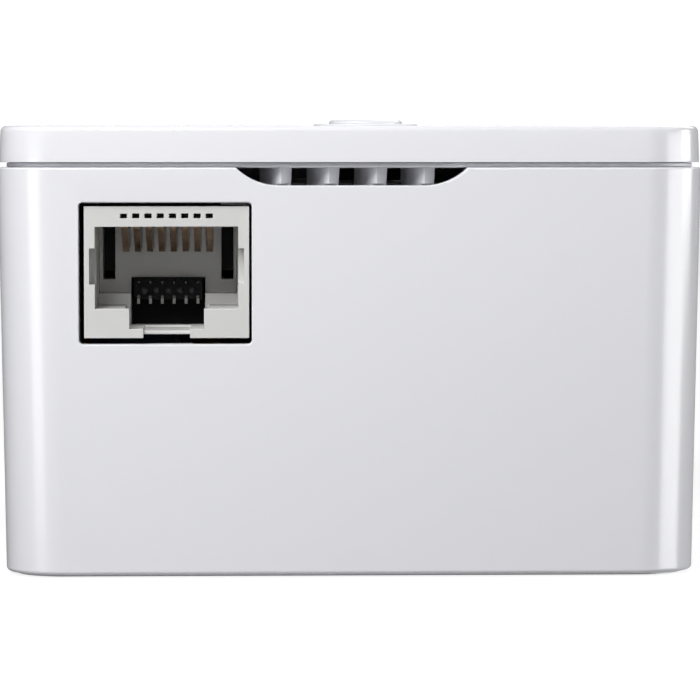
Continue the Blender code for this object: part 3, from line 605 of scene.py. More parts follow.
FINISH["board_green"] = board_lacquer()
FINISH["light_guide_clear"] = clear_guide()
SLOTS = {entry["node"]: entry["material_slot"] for entry in frame["record"]["subparts"]}
BODY_OF = {node: body for body, nodes in frame["record"]["behaviour"]["bodies"].items() for node in nodes}


def show(piece, node):
    """Finishes a piece like the CAD node that it stands for, and rides with its body."""
    surface = SLOTS[node]
    piece.data.materials.clear()
    piece.data.materials.append(FINISH[surface])
    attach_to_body(piece, BODY_OF[node])
    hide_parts(node)


def attach(piece, body, surface, look=None):
    """Finishes a small extra piece that no CAD node stands for."""
    piece.data.materials.clear()
    piece.data.materials.append(FINISH[look or surface])
    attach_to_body(piece, body)


print(len(FINISH), "finishes for", len(set(SLOTS.values())), "slots")

# %% [markdown]
# ## The rear housing
#
# The housing is a deep box with rounded corners whose walls lean in towards the back. It
# could be a cube with bevels, but a loft of rounded rectangles gives full control: each
# ring has its own height and inset, so fillets at the back and the rim are just a few more
# rings on a quarter circle, and the inside is the same outline moved in by the wall.

# %% Outline and rings of the case
CASE_STEPS = 18


def rounded_outline(half_x, half_y, radius, steps=CASE_STEPS):
    points = []
    for quarter, (sx, sy) in enumerate(((1, 1), (-1, 1), (-1, -1), (1, -1))):
        for step in range(steps + 1):
            angle = math.pi / 2 * (quarter + step / steps)
            x = sx * (half_x - radius) + radius * math.cos(angle)
            y = sy * (half_y - radius) + radius * math.sin(angle)
            points.append((x, y))
    return points


def lean_at(z):
    return LEAN * max(0.0, 1 - z / RIM)


def case_ring(z, inset):
    inset_all = inset + lean_at(z)
    outline = rounded_outline(HALF_W - inset_all, HALF_L - inset_all, max(CORNER_R - inset, 0.6 * MM))
    return [(x, y, z) for x, y in outline]


def fillet(start_z, rise, start_inset, run, steps=5, concave=False):
    """Rings round a quarter circle: rise upwards while the inset changes by run."""
    rings = []
    for step in range(steps + 1):
        angle = math.pi / 2 * step / steps
        if concave:
            share_z, share_in = 1 - math.cos(angle), math.sin(angle)
        else:
            share_z, share_in = math.sin(angle), 1 - math.cos(angle)
        rings.append(case_ring(start_z + rise * share_z, start_inset + run * share_in))
    return rings


# %% Loft the shell
BACK_R = 0.35 * MM
RIM_R = 0.18 * MM
FOOT_H, FOOT_IN = 0.17 * MM, 0.9 * MM  # a shallow step that lifts the visible edge off the wall

shell_rings = [case_ring(0.0, FOOT_IN), case_ring(FOOT_H, FOOT_IN)]
shell_rings += fillet(FOOT_H, BACK_R, BACK_R, -BACK_R, concave=True)
shell_rings += fillet(RIM - RIM_R, RIM_R, 0.0, RIM_R)
shell_rings += [case_ring(RIM, WALL - 0.15 * MM), case_ring(RIM - 0.15 * MM, WALL)]
shell_rings += [case_ring(FLOOR, WALL)]
housing = loft("rear_shell", shell_rings)
print("shell rings:", len(shell_rings))

# %% [markdown]
# Two kinds of opening go through the end walls. The vent is boat-shaped: a flat bottom that
# an arc takes up to the rim at each end. The socket's opening is a plain rectangle with
# tiny corner rounds. A moulded edge is never knife-sharp, so each cutter flares at the
# outer face, which leaves a fine chamfer that catches the light.

# %% Cut the vents and the socket's opening
VENT_HALF = 9.65 * MM
VENT_DEPTH = 1.5 * MM
VENT_ARC = 5.1 * MM
FLARE = 0.12 * MM


def vent_outline(grow):
    """The vent's boat shape, grown by a margin, open above the rim."""
    bottom = RIM - VENT_DEPTH - grow
    radius = VENT_ARC + grow
    reach = math.acos(1 - VENT_DEPTH / VENT_ARC)
    flat_half = VENT_HALF - VENT_ARC * math.sin(reach)
    steps = 14
    right = []
    for step in range(steps + 1):
        angle = reach * 1.25 * step / steps
        right.append((flat_half + radius * math.sin(angle), bottom + radius * (1 - math.cos(angle))))
    above = RIM + 1.5 * MM
    right.append((right[-1][0] + 0.8 * MM, above))
    return [(-x, z) for x, z in reversed(right)] + right


def rounded_port(half_w, half_h, centre_x, centre_z, radius, grow):
    outline = rounded_outline(half_w + grow, half_h + grow, radius + grow, 4)
    return [(centre_x + x, centre_z + z) for x, z in outline]


def flared_cutter(name, outline_at, end):
    """A cutter through an end wall, wider by a flare where it meets the leaning face."""
    rings = []
    for depth, grow in ((-2.0 * MM, FLARE), (0.0, FLARE), (FLARE, 0.0), (5.0 * MM, 0.0)):
        ring = [(x, end * (HALF_L - lean_at(z) - depth), z) for x, z in outline_at(grow)]
        rings.append(ring)
    return loft(name, rings)


JACK_LOW, JACK_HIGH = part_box("jack_housing")
JACK_X = (JACK_LOW.x + JACK_HIGH.x) / 2
JACK_Z = (JACK_LOW.z + JACK_HIGH.z) / 2
JACK_FRONT = JACK_LOW.y
PORT_X, PORT_Z = -15.5 * MM, 25.35 * MM
PORT_HALF_W = 7.17 * MM
PORT_HALF_H = 5.875 * MM


def port_outline(grow):
    return rounded_port(PORT_HALF_W, PORT_HALF_H, PORT_X, PORT_Z, 0.3 * MM, grow)


carve(
    housing,
    flared_cutter("near_vent", vent_outline, -1),
    flared_cutter("far_vent", vent_outline, 1),
    flared_cutter("port", port_outline, -1),
)
print("end openings cut,", len(housing.data.polygons), "faces")

# %% [markdown]
# The back has the pocket for the folding plug and four sunk screws. Each screw runs up a
# pillar, and four thinner posts carry the board. Solids are joined on first and holes are
# cut last, so that no hole is filled again.

# %% Cut the back's openings and add the posts
WELL_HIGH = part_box("plug_well")[1]
POCKET_X = 12.2 * MM
POCKET_FRONT, POCKET_BACK = -18.5 * MM, 16.5 * MM
SLIP = 0.15 * MM
SCREWS = [f"case_screw_{number}" for number in (1, 2, 3, 4)]


def middle(node):
    low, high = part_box(node)
    return (low + high) / 2


def disc(name, centre, radius, low, high, steps=40):
    return prism(name, circle(centre, radius, steps), "z", low, high)


POST_X, POST_Y = 22.5 * MM, 27.0 * MM
HEAD_R, SHANK_HOLE = 2.5 * MM, 1.4 * MM
SINK_PROFILE = [
    (0, -1 * MM), (2.75 * MM, -1 * MM), (2.75 * MM, 0), (HEAD_R, 0.25 * MM),
    (HEAD_R, 3.0 * MM), (SHANK_HOLE, 3.01 * MM), (SHANK_HOLE, 9 * MM), (0, 9 * MM),
]

posts, sinks = [], []
for number, node in enumerate(SCREWS):
    place = middle(node)
    posts.append(disc(f"pillar_{number}", place, 3.4 * MM, 1.0 * MM, 8.0 * MM))
    away = (math.copysign(POST_X, place.x), math.copysign(POST_Y, place.y))
    posts.append(disc(f"post_{number}", away, 1.8 * MM, 1.0 * MM, 11.9 * MM, steps=24))
    sinks.append(lathe(f"sink_{number}", (place.x, place.y, 0), SINK_PROFILE, steps=40))
join(housing, *posts)

POCKET_CORNER = 0.6 * MM
pocket_mid = (POCKET_FRONT + POCKET_BACK) / 2
pocket_half = (POCKET_BACK - POCKET_FRONT) / 2
pocket_rings = []
for z, grow in ((-1.0 * MM, 0.15 * MM), (0.0, 0.15 * MM), (0.15 * MM, 0.0), (5.0 * MM, 0.0)):
    outline = rounded_outline(POCKET_X + SLIP + grow, pocket_half + SLIP + grow, POCKET_CORNER + grow, 5)
    pocket_rings.append([(x, pocket_mid + y, z) for x, y in outline])
carve(housing, loft("pocket_opening", pocket_rings), *sinks)
show(smooth(housing), "rear_housing")
print("housing finished with", len(housing.data.polygons), "faces")

# %% [markdown]
# ## The lid
#
# The lid is a shallow tray turned over. Its sides bulge by a hair, which keeps their
# reflection alive, and lean in by a tenth of a millimetre. Both its edges are rounded. The
# hole for the button's ring and the three windows are cut from above with small flares.

# %% Loft the lid
COVER_INSET = HALF_W - COVER_HIGH.x
LID_LOW_R = 0.05 * MM
LID_TOP_R = 0.45 * MM
BULGE = 0.01 * MM
DRAFT = 0.10 * MM
CEILING = 35.6 * MM

lid_rings = fillet(LID_LOW, LID_LOW_R, COVER_INSET + LID_LOW_R, -LID_LOW_R, concave=True)
side_low, side_high = LID_LOW + LID_LOW_R, COVER_HIGH.z - LID_TOP_R
for step in range(1, 6):
    share = step / 6
    swell = BULGE * 4 * share * (1 - share)
    inset = COVER_INSET - swell + DRAFT * share
    lid_rings.append(case_ring(side_low + (side_high - side_low) * share, inset))
lid_rings += fillet(side_high, LID_TOP_R, COVER_INSET + DRAFT, LID_TOP_R)
lid = loft("lid_shell", lid_rings)
hollow_inset = COVER_INSET + 1.5 * MM
carve(lid, loft("lid_hollow", [case_ring(LID_LOW - 1 * MM, hollow_inset), case_ring(CEILING, hollow_inset)]))
print("lid lofted,", len(lid.data.polygons), "faces")

# %% Cut the lid for the button and the lights
BUTTON = middle("pair_button")
RING_LOW, RING_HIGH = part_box("button_ring")
LID_TOP = COVER_HIGH.z
LIGHTS = ("power", "powerline", "ethernet")
RING_HOLE = 4.78 * MM


def pill_outline(centre, half_length, half_width):
    steps = 10
    points = []
    for end in (1, -1):
        mid = centre[1] + end * (half_length - half_width)
        for step in range(steps + 1):
            angle = math.pi * step / steps
            across, along = half_width * math.cos(angle), half_width * math.sin(angle)
            points.append((centre[0] + end * across, mid + end * along))
    return points


RING_SEAT = 5.8 * MM
ring_profile = [
    (0, CEILING - 2 * MM), (RING_SEAT, CEILING - 2 * MM), (RING_SEAT, 36.2 * MM),
    (RING_HOLE, 36.21 * MM), (RING_HOLE, LID_TOP - 0.1 * MM), (RING_HOLE + 0.1 * MM, LID_TOP),
    (RING_HOLE + 0.1 * MM, LID_TOP + MM), (0, LID_TOP + MM),
]
openings = [lathe("ring_opening", (BUTTON.x, BUTTON.y, 0), ring_profile, steps=72)]
PANE_L, PANE_W, PANE_FLARE = 2.08 * MM, 0.88 * MM, 0.08 * MM
pane_levels = (
    (CEILING - MM, 0), (LID_TOP - PANE_FLARE, 0), (LID_TOP, PANE_FLARE), (LID_TOP + MM, PANE_FLARE),
)
for name in LIGHTS:
    centre = middle(f"light_guide_{name}")
    rings = []
    for z, grow in pane_levels:
        rings.append([(x, y, z) for x, y in pill_outline(centre, PANE_L + grow, PANE_W + grow)])
    openings.append(loft(f"window_{name}", rings))
carve(lid, *openings)

TAB_FACE = 25.5 * MM
TAB_TIP = 29.9 * MM
HOOK_Z = 31.15 * MM
HOOK_OUT = 0.7 * MM
TAB_T = 1.0 * MM
TAB_Y, TAB_HALF = 18 * MM, 2.5 * MM
TAB_SHAPE = (
    (TAB_FACE, CEILING + 0.5 * MM), (TAB_FACE, HOOK_Z), (TAB_FACE + HOOK_OUT, HOOK_Z),
    (TAB_FACE + HOOK_OUT, HOOK_Z - 0.2 * MM), (TAB_FACE, TAB_TIP),
    (TAB_FACE - TAB_T, TAB_TIP), (TAB_FACE - TAB_T, CEILING + 0.5 * MM),
)
tabs = []
for side in (-1, 1):
    outline = [(side * x, z) for x, z in TAB_SHAPE]
    for y in (-TAB_Y, TAB_Y):
        tabs.append(prism(f"snap_{side}_{y:.3f}", outline, "y", y - TAB_HALF, y + TAB_HALF))
join(lid, *tabs)
show(smooth(lid), "front_cover")
print("lid finished with", len(lid.data.polygons), "faces")

# %% [markdown]
# ## The inner frame
#
# Between housing and lid runs a recessed neck, and behind each vent a short duct with four
# curved vanes. One moulding carries both. A vane starts with a small face that is turned
# away from the key light. Its left flank slants away to the left and turns inwards, so from
# the front each vane shows a flank that fades into the dark beside a plain grey face.

# %% Loft the neck and the inner ring
FRAME_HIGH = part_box("inner_frame")[1]
FRAME_BOTTOM, FRAME_TOP = 31.3 * MM, 35.3 * MM
FRAME_OUT = WALL + 0.3 * MM
FRAME_IN = FRAME_OUT + 1.5 * MM
NECK_LOW, NECK_HIGH = RIM + 0.03 * MM, LID_LOW - 0.03 * MM
NECK_IN = HALF_W - FRAME_HIGH.x + 0.25 * MM
NECK_R = 0.08 * MM

frame_rings = [
    case_ring(FRAME_BOTTOM, FRAME_OUT),
    case_ring(NECK_LOW, FRAME_OUT),
    case_ring(NECK_LOW, NECK_IN + NECK_R),
    case_ring(NECK_LOW + NECK_R, NECK_IN),
    case_ring(NECK_HIGH - NECK_R, NECK_IN),
    case_ring(NECK_HIGH, NECK_IN + NECK_R),
    case_ring(NECK_HIGH, FRAME_OUT),
    case_ring(FRAME_TOP, FRAME_OUT),
    case_ring(FRAME_TOP, FRAME_IN),
    case_ring(FRAME_BOTTOM, FRAME_IN),
]
inner_frame = loft("vent_frame", frame_rings, closed=True)

# %% [markdown]
# A vane is lofted between two plans, one at its foot and one at its head. The ducts are
# blocks that are joined on and then hollowed out, and the vanes are joined in after that.

# %% Add the ducts and their vanes
DUCT_HALF = 10.9 * MM
DUCT_DEPTH = 5.6 * MM
VANES = 4
VANE_PITCH = 3.99 * MM
VANE_FACE = 0.83 * MM
VANE_NOSE = 0.9 * MM
VANE_SETBACK = 1.6 * MM  # from the case's outer face to the noses
VANE_SHIFT = 0.54 * MM
VANE_LENGTH = 5.0 * MM
VANE_REACH = 1.75 * MM
DUCT_SILL = RIM - VENT_DEPTH - 0.15 * MM
BAFFLE_LOW = 33.0 * MM
BAFFLE_Y = -2.7 * MM


def vane_ring(front_x, end, z, face):
    """A vane in plan. Its nose is cut back to the right. Its left flank leaves the nose at a
    slant and turns further inwards all the way, so it darkens smoothly with depth."""
    front = end * (HALF_L - VANE_SETBACK)
    nose_x = front_x - VANE_FACE / 2
    steps = 14
    points = []
    for step in range(steps + 1):
        share = step / steps
        points.append((nose_x - VANE_REACH * share, front - end * VANE_LENGTH * share ** 1.4, z))
    nose = VANE_NOSE * face / VANE_FACE
    for across, depth in ((-VANE_REACH + 0.7 * MM, VANE_LENGTH), (0.1 * MM, 2.3 * MM), (face, nose)):
        points.append((nose_x + across, front - end * depth, z))
    return points


def make_vane(name, front_x, end):
    """Thicker where it hangs from the neck, thinner at its foot, so that it draws cleanly.
    In front of the duct it ends just above the vent's lower edge."""
    foot = vane_ring(front_x, end, FRAME_BOTTOM + 0.1 * MM, VANE_FACE * 0.9)
    head = vane_ring(front_x, end, RIM + 0.35 * MM, VANE_FACE * 1.1)
    y_low, y_high = sorted((end * HALF_L, end * (HALF_L - FRAME_OUT)))
    over_edge = RIM - VENT_DEPTH + 0.15 * MM
    clear = block("clear", (front_x - 6 * MM, y_low, 0), (front_x + 6 * MM, y_high, over_edge))
    return carve(loft(name, [foot, head]), clear)


ducts, passages, vanes = [], [], []
inside = DUCT_HALF - 0.8 * MM
floors = (("mouth", -0.8 * MM, FRAME_BOTTOM + 0.6 * MM), ("rear", 2 * MM, DUCT_SILL))
for name, end in (("near", -1), ("far", 1)):
    rear = end * (HALF_L - FRAME_OUT - DUCT_DEPTH)
    y_low, y_high = sorted((end * (HALF_L - FRAME_OUT - 0.4 * MM), rear))
    low = (-DUCT_HALF, y_low, FRAME_BOTTOM - 0.3 * MM)
    ducts.append(block(f"duct_{name}", low, (DUCT_HALF, y_high, FRAME_TOP - 0.3 * MM)))
    for part, reach, floor_z in floors:
        deep, mouth = sorted((rear - end * reach, end * HALF_L))
        high = (inside, mouth, RIM - 0.05 * MM)
        passages.append(block(f"passage_{name}_{part}", (-inside, deep, floor_z), high))
    for i in range(VANES):
        front_x = VANE_SHIFT + (i - (VANES - 1) / 2) * VANE_PITCH
        vanes.append(make_vane(f"vane_{name}_{i}", front_x, end))
baffle_half = HALF_W - FRAME_IN + 0.4 * MM
baffle = block(
    "baffle",
    (-baffle_half, BAFFLE_Y - 0.5 * MM, BAFFLE_LOW),
    (baffle_half, BAFFLE_Y + 0.5 * MM, FRAME_TOP - 0.1 * MM),
)
bosses, pilots = [], []
for number, node in enumerate(SCREWS):
    place = middle(node)
    bosses.append(disc(f"boss_{number}", place, 2.0 * MM, 8.3 * MM, FRAME_TOP - MM, steps=32))
    pilots.append(disc(f"pilot_{number}", place, 0.95 * MM, 7.0 * MM, 18.0 * MM, steps=16))
join(inner_frame, *ducts)
carve(inner_frame, *passages)
join(inner_frame, *vanes, baffle, *bosses)
carve(inner_frame, *pilots)
show(smooth(inner_frame, 35), "inner_frame")
print("frame finished with", len(inner_frame.data.polygons), "faces")

# %% [markdown]
# ## The network socket
#
# The socket's body is a pale grey moulding, and its opening is a stack of rectangles: the
# main cavity for the cable's plug, a latch slot below it, a narrower key slot through the
# lip, two shallow ears at the sides, and eight peep holes above the contacts. Cutting them
# from one block keeps every depth right, and one light bevel finishes all the edges.

# %% Carve the socket's body
ROOF = JACK_Z + 3.77 * MM
CAVITY_W, CAVITY_H = 11.9 * MM, 6.8 * MM
SILL = ROOF - CAVITY_H
STEP_DEPTH = 9.2 * MM
BACK_DEPTH = 11.5 * MM
STEP_H = 0.95 * MM
LATCH_W = 6.2 * MM
LATCH_FLOOR = SILL - 1.67 * MM
KEY_W = 3.88 * MM
WINDOW_HALF = 3.17 * MM
THROUGH = JACK_HIGH.y - JACK_LOW.y + 1 * MM
PITCH = 1.016 * MM
WIRES = 8
REAR_START = 9.0 * MM

socket = block("socket_body", JACK_LOW, JACK_HIGH)


def notch(name, half_w, depth, low_z, high_z, x=0.0, start=-MM):
    low = (JACK_X + x - half_w, JACK_FRONT + start, low_z)
    high = (JACK_X + x + half_w, JACK_FRONT + depth, high_z)
    return block(name, low, high)


cuts = [
    notch("cavity", CAVITY_W / 2, STEP_DEPTH, SILL, ROOF),
    notch("cavity_back", CAVITY_W / 2 - 0.06 * MM, BACK_DEPTH, SILL + STEP_H, ROOF - 0.02 * MM),
    notch("latch_lip", LATCH_W / 2, 1.2 * MM, LATCH_FLOOR, SILL + MM),
    notch("latch_run", LATCH_W / 2 + 0.42 * MM, STEP_DEPTH, LATCH_FLOOR, SILL + 0.02 * MM, start=1.0 * MM),
    notch("key_lip", KEY_W / 2, 0.7 * MM, JACK_LOW.z - MM, LATCH_FLOOR + 0.3 * MM),
    notch("key_run", KEY_W / 2, 7.0 * MM, JACK_LOW.z + 0.61 * MM, LATCH_FLOOR + 0.28 * MM),
    notch(
        "key_under", KEY_W / 2 + 0.2 * MM, 12 * MM, JACK_LOW.z - MM, JACK_LOW.z + 0.30 * MM, start=0.7 * MM,
    ),
    notch(
        "rear_window", WINDOW_HALF, THROUGH, LATCH_FLOOR - 0.35 * MM, SILL + 2.25 * MM, start=REAR_START,
    ),
]
EAR_X = CAVITY_W / 2 + 0.22 * MM
SIDE_SLOT_X = 5.08 * MM
SLOT_LOW, SLOT_TOP = SILL + 2.08 * MM, ROOF - 0.15 * MM
for side in (-1, 1):
    cuts.append(notch(f"ear_{side}", 0.25 * MM, 3.0 * MM, SILL + 2.02 * MM, SILL + 5.0 * MM, x=side * EAR_X))
    slot = (0.52 * MM, THROUGH, SLOT_LOW, SLOT_TOP)
    cuts.append(notch(f"side_slot_{side}", *slot, x=side * SIDE_SLOT_X, start=REAR_START))
# half width, depth, low, high and start of the cuts at each wire
WIRE_CUTS = (
    ("peep", 0.29 * MM, 4.5 * MM, ROOF + 0.71 * MM, ROOF + 1.1 * MM, -MM),
    ("groove", 0.31 * MM, BACK_DEPTH + 0.6 * MM, ROOF - 0.4 * MM, ROOF + 0.62 * MM, 1.2 * MM),
    ("comb", 0.3 * MM, BACK_DEPTH + 0.7 * MM, ROOF - 2.0 * MM, ROOF, BACK_DEPTH - 0.2 * MM),
)
for i in range(WIRES):
    x = (i - (WIRES - 1) / 2) * PITCH
    for part, half_w, depth, low_z, high_z, start in WIRE_CUTS:
        cuts.append(notch(f"{part}_{i}", half_w, depth, low_z, high_z, x=x, start=start))
carve(socket, *cuts)
ease(socket, FINE_EDGE)
show(smooth(socket), "jack_housing")
print("socket carved,", len(socket.data.polygons), "faces")

# %% [markdown]
# Eight gold-plated spring wires do the work. Each is a flat strip that lies in a groove in
# the roof, turns round at the front and slants back down into the cavity, where the
# cable's plug presses on it. A strip is easiest as its path in side view, given a
# thickness along the path's normals, then extruded by the strip's width.

# %% Bend the contact wires
WIRE_T = 0.28 * MM
WIRE_HALF_W = 0.27 * MM
WIRE_BEND = 0.3 * MM


def side_path(points, radius, steps=6):
    """A polyline in side view with its corners turned into arcs."""
    path = [Vector(points[0])]
    for before, corner, after in zip(points, points[1:], points[2:]):
        a, b, c = Vector(before), Vector(corner), Vector(after)
        into, out = (b - a).normalized(), (c - b).normalized()
        turn = into.angle(out)
        setback = min(radius * math.tan(turn / 2), (b - a).length * 0.45, (c - b).length * 0.45)
        first, last = b - into * setback, b + out * setback
        for step in range(steps + 1):
            t = step / steps
            path.append(first * (1 - t) ** 2 + b * 2 * t * (1 - t) + last * t ** 2)
    path.append(Vector(points[-1]))
    return path


def strip_outline(path, thickness):
    left, right = [], []
    for i, point in enumerate(path):
        ahead = path[min(i + 1, len(path) - 1)] - path[max(i - 1, 0)]
        normal = Vector((-ahead.y, ahead.x)).normalized() * thickness / 2
        left.append(point + normal)
        right.append(point - normal)
    return [(p.x, p.y) for p in left + right[::-1]]


def bend_strip(name, points, thickness, radius, low_x, high_x):
    """A strip bent in the y-z plane and extruded in x."""
    return prism(name, strip_outline(side_path(points, radius), thickness), "x", low_x, high_x)


for i in range(WIRES):
    node = f"jack_contact_{i + 1}"
    low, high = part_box(node)
    route = [
        (JACK_FRONT + 11.3 * MM, ROOF + 0.36 * MM),
        (JACK_FRONT + 1.75 * MM, ROOF + 0.36 * MM),
        (JACK_FRONT + 8.2 * MM, ROOF - 2.15 * MM),
    ]
    mid_x = (low.x + high.x) / 2
    side_low, side_high = mid_x - WIRE_HALF_W, mid_x + WIRE_HALF_W
    wire = bend_strip(f"contact_wire_{i + 1}", route, WIRE_T, WIRE_BEND, side_low, side_high)
    ease(wire, FINE_EDGE)
    show(smooth(wire), node)
print("contact wires bent:", WIRES)

# %% [markdown]
# Behind the latch slot sits a black block that guides the wires down to the board. Only
# its face can be seen, in deep shade: a row of knobs, with the cut ends of small tinned
# pins above and below them. The lower pins are bent down, so each has a short tail.

# %% Build the black guide block
BLOCK_LOW, BLOCK_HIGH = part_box("jack_insert")
guide_block = block(
    "wire_guide",
    (BLOCK_LOW.x - 0.2 * MM, JACK_FRONT + 10.2 * MM, SILL + 0.35 * MM),
    (BLOCK_HIGH.x + 0.2 * MM, BLOCK_HIGH.y, SILL + 2.15 * MM),
)
foot_block = block(
    "wire_guide_foot",
    (JACK_X - WINDOW_HALF + 0.04 * MM, JACK_FRONT + 13.6 * MM, LATCH_FLOOR - 0.33 * MM),
    (JACK_X + WINDOW_HALF - 0.04 * MM, BLOCK_HIGH.y - 0.1 * MM, SILL + 0.6 * MM),
)
join(guide_block, foot_block)
ease(guide_block, 0.08 * MM)
PEG_START = -2.54 * MM
KNOBS, PINS = 5, 6
PEG_FACE = JACK_FRONT + 10.2 * MM
KNOB_PROFILE = [
    (0, 0.3 * MM), (0.32 * MM, 0.3 * MM), (0.32 * MM, -0.12 * MM), (0.22 * MM, -0.3 * MM), (0, -0.36 * MM),
]
# name, height, radius and tail of each row of pins
PIN_ROWS = (("upper", SILL + 1.85 * MM, 0.13 * MM, 0.0), ("lower", SILL + 0.62 * MM, 0.17 * MM, 0.60 * MM))
show(smooth(guide_block), "jack_insert")
for i in range(KNOBS):
    x = JACK_X + PEG_START + (i + 0.5) * PITCH
    knob = lathe(f"knob_{i}", (x, PEG_FACE, SILL + 1.15 * MM), KNOB_PROFILE, steps=20, axis="y")
    attach(smooth(knob), "case", "chip_black")
for i in range(PINS):
    x = JACK_X + PEG_START + i * PITCH
    for row, z, r, tail in PIN_ROWS:
        profile = [(0, 0.3 * MM), (r, 0.3 * MM), (r, -0.2 * MM), (r * 0.6, -0.3 * MM), (0, -0.33 * MM)]
        pin = lathe(f"pin_{row}_{i}", (x, PEG_FACE, z), profile, steps=14, axis="y")
        if tail:
            low = (x - r * 0.7, JACK_FRONT + 9.98 * MM, z - tail)
            join(pin, block("tail", low, (x + r * 0.7, JACK_FRONT + 10.3 * MM, z)))
        attach(smooth(pin), "case", "screw_steel", look="pin_tin")
print("guide block with", KNOBS, "knobs and", 2 * PINS, "pins")

# %% [markdown]
# ## The pairing button
#
# A satin ring is set into the lid, and the button's cap stands a little prouder inside it.
# Both are lathe work: the profile is drawn once, with small rounds where a finger would
# feel an edge and a faint dish in the cap's top.

# %% Turn the ring and the cap
def corner_arc(centre_r, centre_z, radius, start, end, steps=5):
    """Points on a profile's round corner, between two angles in degrees."""
    points = []
    for step in range(steps + 1):
        angle = math.radians(start + (end - start) * step / steps)
        points.append((centre_r + radius * math.cos(angle), centre_z + radius * math.sin(angle)))
    return points


RING_OUT, RING_BORE = 4.7 * MM, 3.45 * MM
EDGE_R = 0.14 * MM
RING_LIP, LIP_T = 5.6 * MM, 0.8 * MM
ring_shape = [(RING_BORE, RING_LOW.z), (RING_LIP, RING_LOW.z)]
ring_shape += [(RING_LIP, RING_LOW.z + LIP_T), (RING_OUT, RING_LOW.z + LIP_T)]
ring_shape += corner_arc(RING_OUT - EDGE_R, RING_HIGH.z - EDGE_R, EDGE_R, 0, 90)
ring_shape += corner_arc(RING_BORE + EDGE_R, RING_HIGH.z - EDGE_R, EDGE_R, 90, 180)
ring = lathe("button_bezel", (BUTTON.x, BUTTON.y, 0), ring_shape, steps=72)
show(smooth(ring, 35), "button_ring")

CAP_LOW, CAP_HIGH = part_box("pair_button")
CAP_R = 3.3 * MM
CAP_EDGE = 0.28 * MM
CAP_LIP, CAP_LIP_T, CAP_DISH = 4.3 * MM, 0.5 * MM, 0.10 * MM
cap_shape = [(0, CAP_LOW.z), (CAP_LIP, CAP_LOW.z)]
cap_shape += [(CAP_LIP, CAP_LOW.z + CAP_LIP_T), (CAP_R, CAP_LOW.z + CAP_LIP_T)]
cap_shape += corner_arc(CAP_R - CAP_EDGE, CAP_HIGH.z - CAP_EDGE, CAP_EDGE, 0, 90, steps=6)
for share in (0.75, 0.5, 0.25):
    cap_shape.append(((CAP_R - CAP_EDGE) * share, CAP_HIGH.z - CAP_DISH * (1 - share ** 2)))
cap_shape.append((0, CAP_HIGH.z - CAP_DISH))
cap = lathe("button_cap", (BUTTON.x, BUTTON.y, 0), cap_shape, steps=72)
show(smooth(cap, 35), "pair_button")
print(f"ring stands {(RING_HIGH.z - LID_TOP) / MM:.2f} mm proud, cap {(CAP_HIGH.z - LID_TOP) / MM:.2f} mm")

# %% [markdown]
# ## Light guides
#
# Each guide is a clear pill that shows flush in its window, with a flange that stops it
# falling through. Its top is very slightly domed so that it doesn't look like a sticker.

# %% Mould the light guides
for name in LIGHTS:
    node = f"light_guide_{name}"
    low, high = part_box(node)
    centre = middle(node)
    rings = []
    for z, length, width in (
        (low.z, 2.0, 0.8), (34.4 * MM, 2.0, 0.8), (34.41 * MM, 2.7, 1.5),
        (35.45 * MM, 2.7, 1.5), (35.46 * MM, 2.0, 0.8),
        (high.z - 0.10 * MM, 2.0, 0.8), (high.z - 0.03 * MM, 1.95, 0.75), (high.z, 1.8, 0.6),
    ):
        rings.append([(x, y, z) for x, y in pill_outline(centre, length * MM, width * MM)])
    show(smooth(loft(f"guide_{name}", rings)), node)
print("guides moulded:", len(LIGHTS))

# %% [markdown]
# ## Case screws
#
# Each screw has a pan head with a cross recess and a real thread. A thread is a surface
# whose radius depends on height minus turn, so a grid of points with that rule gives a
# helix with no special tool. Its ends taper so that it starts and stops softly.

# %% Turn the screws
THREAD_PITCH = 0.9 * MM
SHANK_R = 0.8 * MM
CORE_R = 0.56 * MM
# radius and rise of the head's profile, in mm
SCREW_HEAD = (
    (1.3, 0.0), (1.75, 0.1), (2.05, 0.35), (2.2, 0.75), (2.2, 1.55), (2.1, 1.7), (SHANK_R / MM, 1.701),
)


def thread_radius(angle, z, low, high):
    phase = ((z / THREAD_PITCH) - angle / (2 * math.pi)) % 1.0
    ridge = max(0.0, 1 - abs(phase - 0.5) * 3.4)
    fade = min(1.0, (z - low) / (1.2 * MM), (high - z) / (1.0 * MM))
    taper = min(1.0, (high - z) / (1.5 * MM) * 0.5 + 0.5)
    return (CORE_R + (SHANK_R - CORE_R) * ridge * max(fade, 0.0)) * taper


def turn_screw(name, node):
    low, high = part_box(node)
    place = middle(node)
    seat = low.z + 1.7 * MM
    around, levels = 24, 90
    rings = []
    for radius, rise in SCREW_HEAD:
        rings.append([(radius * MM, low.z + rise * MM)] * around)
    for level in range(levels + 1):
        z = seat + 0.05 * MM + (high.z - seat - 0.05 * MM) * level / levels
        turns = [2 * math.pi * i / around for i in range(around)]
        rings.append([(thread_radius(turn, z, seat, high.z), z) for turn in turns])
    points = []
    for row in rings:
        ring = []
        for i, (radius, z) in enumerate(row):
            angle = 2 * math.pi * i / around
            ring.append((place.x + radius * math.cos(angle), place.y + radius * math.sin(angle), z))
        points.append(ring)
    screw = loft(name, points)
    recess = []
    for wide, narrow in ((1.25, 0.28), (0.28, 1.25)):
        rows = []
        for z, share in ((low.z - 0.5 * MM, 1.05), (low.z, 1.0), (low.z + 1.0 * MM, 0.45)):
            x, y = wide * MM * share, narrow * MM * (0.7 + 0.3 * share)
            corners = ((-x, -y), (x, -y), (x, y), (-x, y))
            rows.append([(place.x + dx, place.y + dy, z) for dx, dy in corners])
        recess.append(loft("recess", rows))
    return carve(screw, *recess)


for node in SCREWS:
    show(smooth(turn_screw(f"threaded_{node}", node), 35), node)
print("screws turned:", len(SCREWS))

